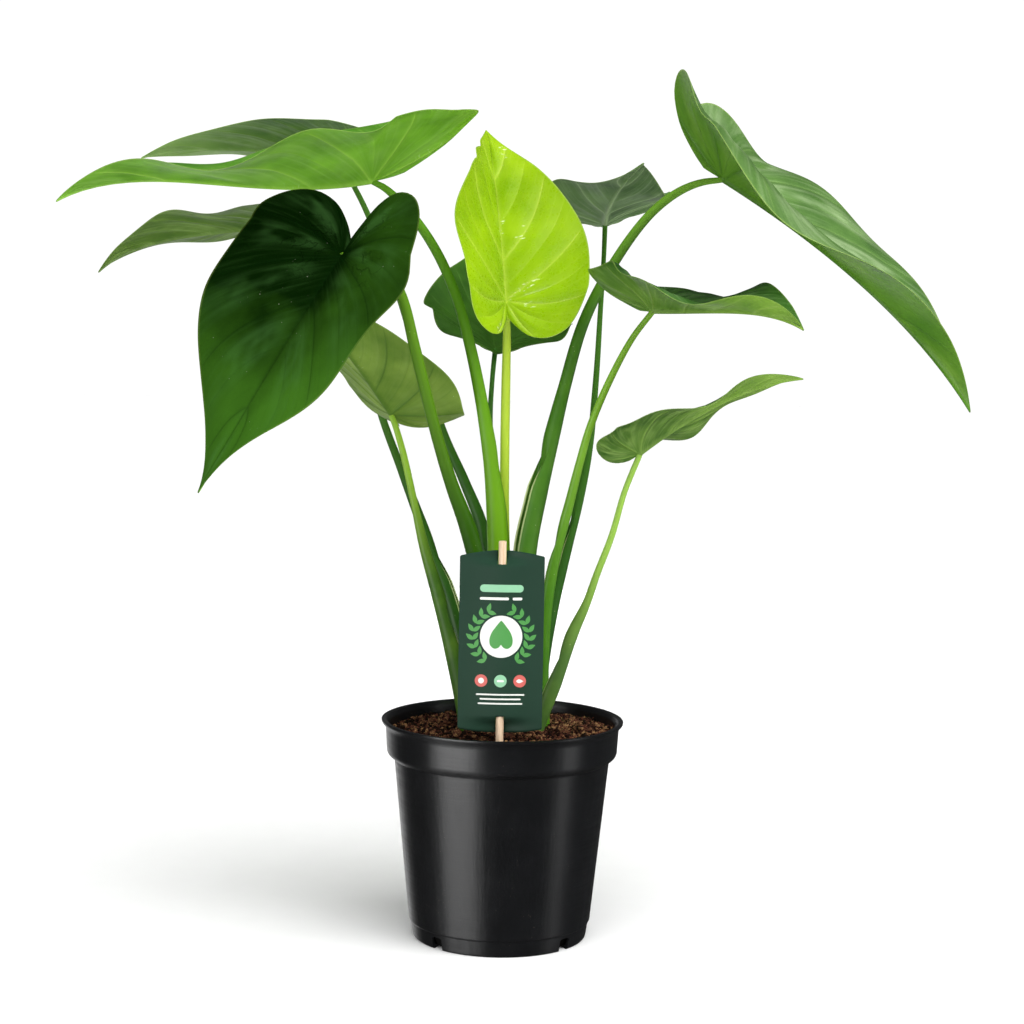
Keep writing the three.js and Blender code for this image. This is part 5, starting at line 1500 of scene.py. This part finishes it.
LITTER_CLEARANCE = 0.0012
LITTER_KINDS = {
    "soil_fibres": dict(density=70000.0, low=0.003, high=0.013, slim=0.035, tilt=0.35, bend=0.006, seed=3),
    "soil_crumbs": dict(density=130000.0, low=0.0012, high=0.0052, slim=0.4, tilt=1.5, bend=0.0025, seed=8),
}
for name, kind in LITTER_KINDS.items():
    finish = new_material(name, potting_mix, {"Coarse": 0.6}, LITTER_BUMP, SOIL_SPECULAR)
    piece = grow(name, soil.data.copy(), soil_litter, {
        "Density": kind["density"], "Seed": kind["seed"], "Smallest": kind["low"], "Largest": kind["high"],
        "Slimness": kind["slim"], "Tilt": kind["tilt"], "Bend": kind["bend"],
        "Reach": SOIL_EDGE - LITTER_CLEARANCE, "Finish": finish,
    })
    place_piece(piece, "soil")
    print("triangles in", name, triangles(piece))

# %% [markdown]
# ## The card and its stick
#
# The card is a thin printed sheet of plastic, threaded on a round wooden stick: it passes in
# front of the stick between two slots and behind it at both ends. Its print here is a plain
# design with no words, a leaf on a pale disc between two sprigs, with bars where a card has
# its lines of text. The card could be bent by a simulation, but a formula for how far it lies
# from the stick is plainer: it says where the card crosses over, and how it flattens beside it.

# %% Bend the card round its stick
CARD_WIDTH, CARD_HEIGHT, CARD_ARCH, CARD_THICKNESS = 0.07, 0.143, 0.004, 0.0006
CARD_MIDDLE = (-0.002, -0.08, 0.268)
CARD_CORNER = 0.0012
CARD_STEP = 0.0045
CARD_HOLD = 0.017
CARD_REST = -0.0016
CARD_BOW = 0.0015
CARD_BUMP = 0.00005
CARD_SPECULAR = 0.2
STICK_RADIUS = 0.00325
SLOT_WIDTH = 2 * STICK_RADIUS + 0.0006
TOP_SLOT = (0.0640, 0.0725)
BOTTOM_SLOT = (-0.0700, -0.0600)


def card_offset(x, height):
    """How far the card lies in front of the stick's axis (-) or behind it (+)."""
    clear = STICK_RADIUS + CARD_THICKNESS / 2 + 0.0001
    crossing = sum(TOP_SLOT if height > 0 else BOTTOM_SLOT) / 2
    away = abs(height) - abs(crossing)
    behind = float(soft_step((away + CARD_STEP) / (2 * CARD_STEP)))
    bow = CARD_BOW * max(0.0, 1 - (height / crossing) ** 2)
    at_stick = (-clear - bow) * (1 - behind) + clear * behind
    hold = math.exp(-((x / CARD_HOLD) ** 2))
    return CARD_REST - bow + (at_stick - CARD_REST + bow) * hold


def card_place(x, height, lift=0.0):
    middle_x, middle_y, middle_z = CARD_MIDDLE
    return (middle_x + x, middle_y + card_offset(x, height) - lift, middle_z + height)


def card_height(x, row):
    """The card's ends are arched and its corners rounded; row is the height before that."""
    arch = CARD_ARCH * (1 - (2 * x / CARD_WIDTH) ** 2)
    past = max(0.0, abs(x) - (CARD_WIDTH / 2 - CARD_CORNER))
    corner = CARD_CORNER - math.sqrt(max(0.0, CARD_CORNER**2 - past**2))
    return row + (arch - corner) * abs(2 * row / CARD_HEIGHT) ** 8 * math.copysign(1, row)


half_width, half_slot = CARD_WIDTH / 2, SLOT_WIDTH / 2
corner_columns = [half_width - CARD_CORNER * part for part in (0.02, 0.15, 0.4, 0.7)]
columns = sorted({
    *np.linspace(-half_width, half_width, 29), *np.linspace(-half_slot, half_slot, 5),
    *corner_columns, *[-x for x in corner_columns],
})
rows = sorted({*np.linspace(-CARD_HEIGHT / 2, CARD_HEIGHT / 2, 91), *TOP_SLOT, *BOTTOM_SLOT})
card_shape = bmesh.new()
grid = [[card_shape.verts.new(card_place(x, card_height(x, row))) for row in rows] for x in columns]
for i in range(len(columns) - 1):
    for j in range(len(rows) - 1):
        x, row = (columns[i] + columns[i + 1]) / 2, (rows[j] + rows[j + 1]) / 2
        in_slot = any(low < row < high for low, high in (TOP_SLOT, BOTTOM_SLOT))
        if not (in_slot and abs(x) < half_slot):
            card_shape.faces.new((grid[i][j], grid[i + 1][j], grid[i + 1][j + 1], grid[i][j + 1]))
card_mesh = mesh_of("plant_card", card_shape)
card_mesh.shade_smooth()
card = new_object("plant_card", card_mesh)
card_mesh.materials.append(new_material("card_green", moulded_plastic, {
    "Tone": colour(24, 52, 38), "Worn": colour(30, 58, 44), "Gloss": 0.62, "Flow": 0.05, "Dust": 0.05,
}, CARD_BUMP, CARD_SPECULAR))
shell = card.modifiers.new("thickness", "SOLIDIFY")
shell.thickness = CARD_THICKNESS
shell.offset = 0
place_piece(card, "label_card", "label_card")
print("card points:", len(card_mesh.vertices))

# %% [markdown]
# The print on such a card is a film of ink. It could be a picture laid on the card, but drawn
# shapes stay sharp from close by. Each one is cut from the flat, bent as the card is and given
# the thickness of ink. Large shapes are cut into narrow strips first, because a flat shape
# can't follow a bend without points to bend at.

# %% Print the card
INKS = {
    "white": (212, 214, 208), "mint": (128, 182, 144), "green": (66, 138, 62), "coral": (190, 88, 80),
}
INK_THICKNESS = 0.00008
INK_OVERLAP = 0.8
INK_BUMP = 0.0001
WORN_SHARE = 0.93
CUT_WIDTH, CUT_HEIGHT = 0.0025, 0.004
SPRIG_RADIUS = 0.0235
LEAFLET_LEAN = 0.75
HEART_EVENNESS = 0.5
DISC_HEIGHT, BADGE_HEIGHT = 0.006, -0.031


def ring_of(x, z, radius, count=40):
    turns = [2 * math.pi * k / count for k in range(count)]
    return [(x + radius * math.cos(t), z + radius * math.sin(t)) for t in turns]


def bar(x, z, width, height):
    """A bar with round ends."""
    radius, reach = height / 2, (width - height) / 2
    arc = [math.pi * (k / 10 - 0.5) for k in range(11)]
    right = [(x + reach + radius * math.cos(t), z + radius * math.sin(t)) for t in arc]
    return right + [(2 * x - px, 2 * z - pz) for px, pz in right]


def leaflet(x, z, length, width, turn):
    """A pointed oval that starts at x, z and leans by turn."""
    side = [(length * t, width / 2 * math.sin(math.pi * t**0.8)) for t in np.linspace(0, 1, 12)]
    outline_points = side + [(a, -b) for a, b in side[-2:0:-1]]
    c, s = math.cos(turn), math.sin(turn)
    return [(x + a * c - b * s, z + a * s + b * c) for a, b in outline_points]


def heart(x, z, size):
    half = [(0, -0.34), (0.1, -0.46), (0.26, -0.5), (0.42, -0.38), (0.46, -0.16), (0.38, 0.12),
            (0.22, 0.36), (0.08, 0.54), (0, 0.62)]
    smooth_half = curve_at(half, np.linspace(0, len(half) - 1, 33), HEART_EVENNESS)
    right = [(x + size * a, z + size * b) for a, b in smooth_half]
    return right + [(2 * x - px, pz) for px, pz in right[-2:0:-1]]


def sprig(side):
    """Leaflets in pairs along an arc beside the disc."""
    shapes = []
    for k in range(8):
        t = math.radians(-58 + 17 * k)
        x, z = side * SPRIG_RADIUS * math.cos(t), DISC_HEIGHT + SPRIG_RADIUS * math.sin(t)
        for lean in (LEAFLET_LEAN, -LEAFLET_LEAN):
            turn = t + math.pi / 2 + lean
            turn = turn if side > 0 else math.pi - turn
            shapes.append(leaflet(x, z, 0.0076, 0.0036, turn))
    return shapes


BADGES = (("coral", -0.016), ("mint", 0), ("coral", 0.016))
TEXT_BARS = (0.04, 0.034, 0.037)
# Each shape: its ink, its layer (1 lies on a shape of layer 0) and its outline.
PRINT = [
    ("mint", 0, bar(0, 0.046, 0.036, 0.0062)),
    ("white", 0, bar(-0.006, 0.0375, 0.024, 0.0022)), ("white", 0, bar(0.013, 0.0375, 0.008, 0.0022)),
    ("white", 0, ring_of(0, DISC_HEIGHT, 0.0175, 64)), ("green", 1, heart(0, 0.0065, 0.021)),
    *[(ink, 0, ring_of(x, BADGE_HEIGHT, 0.0052)) for ink, x in BADGES],
    ("white", 1, ring_of(-0.016, BADGE_HEIGHT, 0.0024)), ("white", 1, bar(0, BADGE_HEIGHT, 0.0058, 0.0018)),
    ("white", 1, leaflet(0.013, BADGE_HEIGHT, 0.006, 0.0032, 0.0)),
    *[("white", 0, bar(0, -0.0425 - 0.0038 * k, width, 0.0013)) for k, width in enumerate(TEXT_BARS)],
    *[("green", 0, shape) for side in (-1, 1) for shape in sprig(side)],
]
printed = bmesh.new()
for ink, layer, shape in PRINT:
    flat_shape = bmesh.new()
    flat_shape.faces.new([flat_shape.verts.new((x, 0, z)) for x, z in shape])
    for direction, spots, cut in (((1, 0, 0), [x for x, _ in shape], CUT_WIDTH),
                                  ((0, 0, 1), [z for _, z in shape], CUT_HEIGHT)):
        for k in range(math.ceil(min(spots) / cut), math.floor(max(spots) / cut) + 1):
            everything = [*flat_shape.verts, *flat_shape.edges, *flat_shape.faces]
            bmesh.ops.bisect_plane(
                flat_shape, geom=everything, plane_co=Vector(direction) * k * cut, plane_no=direction)
    lift = CARD_THICKNESS / 2 + INK_THICKNESS * (0.5 + INK_OVERLAP * layer)
    for vertex in flat_shape.verts:
        vertex.co = card_place(vertex.co.x, vertex.co.z, lift)
    for face in flat_shape.faces:
        face.material_index = list(INKS).index(ink)
        face.normal_update()
        if face.normal.y > 0:
            face.normal_flip()
    printed.from_mesh(mesh_of("print_shape", flat_shape))
print_mesh = mesh_of("card_print", printed)
card_print = new_object("card_print", print_mesh)
for ink, shade in INKS.items():
    worn = [round(part * WORN_SHARE) for part in shade]
    print_mesh.materials.append(new_material(f"ink_{ink}", moulded_plastic, {
        "Tone": colour(*shade), "Worn": colour(*worn), "Gloss": 0.5, "Flow": 0.05, "Dust": 0.0,
    }, INK_BUMP))
film = card_print.modifiers.new("ink", "SOLIDIFY")
film.thickness = INK_THICKNESS
film.offset = 0
place_piece(card_print, "label_card")
print("printed shapes:", len(PRINT))

# %% [markdown]
# The stick is a thin round rod of pale birch, with its ends rubbed soft. A plain cylinder
# would have sharp ends, so a profile with rounded corners is spun round the axis instead. The
# wood's lines and pores are noise, drawn out along the stick.

# %% Turn and finish the stick
STICK_TOP, STICK_BOTTOM, STICK_SIDES = 0.353, 0.15, 40
STICK_ROUNDING = 0.0009
STICK_STATIONS = 24
STICK_BUMP = 0.0003
STICK_MERGE = 1e-6

WOOD_LOOK = {"Pale": (COLOUR, colour(228, 204, 174)), "Grain": (COLOUR, colour(194, 158, 124))}
tree, look = new_group("birch wood", "ShaderNodeTree", WOOD_LOOK, FINISH)
place = object_place(tree)
lines = cloud(stretched(place, (1400.0, 1400.0, 26.0)), 1.0, 4.0, 0.65)
pores = step(cloud(stretched(place, (3800.0, 3800.0, 130.0)), 1.0, 2.0), 0.6, 0.7)
soft = cloud(place, 60.0)
wood = blend(step(lines, 0.35, 0.7), look["Pale"], look["Grain"])
wood = blend(pores * 0.45 + (soft - 0.5) * 0.3, wood, look["Grain"])
finish_group(tree, {"Color": wood, "Roughness": lines * 0.2 + 0.52, "Height": lines * 0.6 - pores})

stick_profile = rounded_line([
    (0, STICK_BOTTOM, 0), (STICK_RADIUS, STICK_BOTTOM, STICK_ROUNDING),
    *[(STICK_RADIUS, STICK_BOTTOM + (STICK_TOP - STICK_BOTTOM) * k / STICK_STATIONS, 0.0005)
      for k in range(1, STICK_STATIONS)],
    (STICK_RADIUS, STICK_TOP, STICK_ROUNDING), (0, STICK_TOP, 0),
])
stick_shape = bmesh.new()
line = [stick_shape.verts.new((radius, 0, height)) for radius, height in stick_profile]
edges = [stick_shape.edges.new(pair) for pair in zip(line, line[1:])]
bmesh.ops.spin(stick_shape, geom=[*line, *edges], angle=2 * math.pi, steps=STICK_SIDES, axis=(0, 0, 1),
               cent=(0, 0, 0), use_merge=True, use_normal_flip=False)
bmesh.ops.remove_doubles(stick_shape, verts=stick_shape.verts, dist=STICK_MERGE)
for vertex in stick_shape.verts:
    vertex.co += Vector((CARD_MIDDLE[0], CARD_MIDDLE[1], 0))
bmesh.ops.recalc_face_normals(stick_shape, faces=stick_shape.faces)
stick_mesh = mesh_of("wooden_stick", stick_shape)
stick_mesh.shade_smooth()
stick = new_object("wooden_stick", stick_mesh)
stick_mesh.materials.append(new_material("stick_wood", tree, {}, STICK_BUMP))
place_piece(stick, "label_stick", "label_stick")
print("stick points:", len(stick_mesh.vertices))

# %% [markdown]
# ## The last measure
#
# The dressed plant has to fill the space of the imported part and no more.

# %% Print the sizes and finish
visual_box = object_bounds()
sizes = {"cad": [list(corner) for corner in cad_box], "visual": [list(corner) for corner in visual_box]}
for name, box in sizes.items():
    print(name, [[round(value, 4) for value in corner] for corner in box])
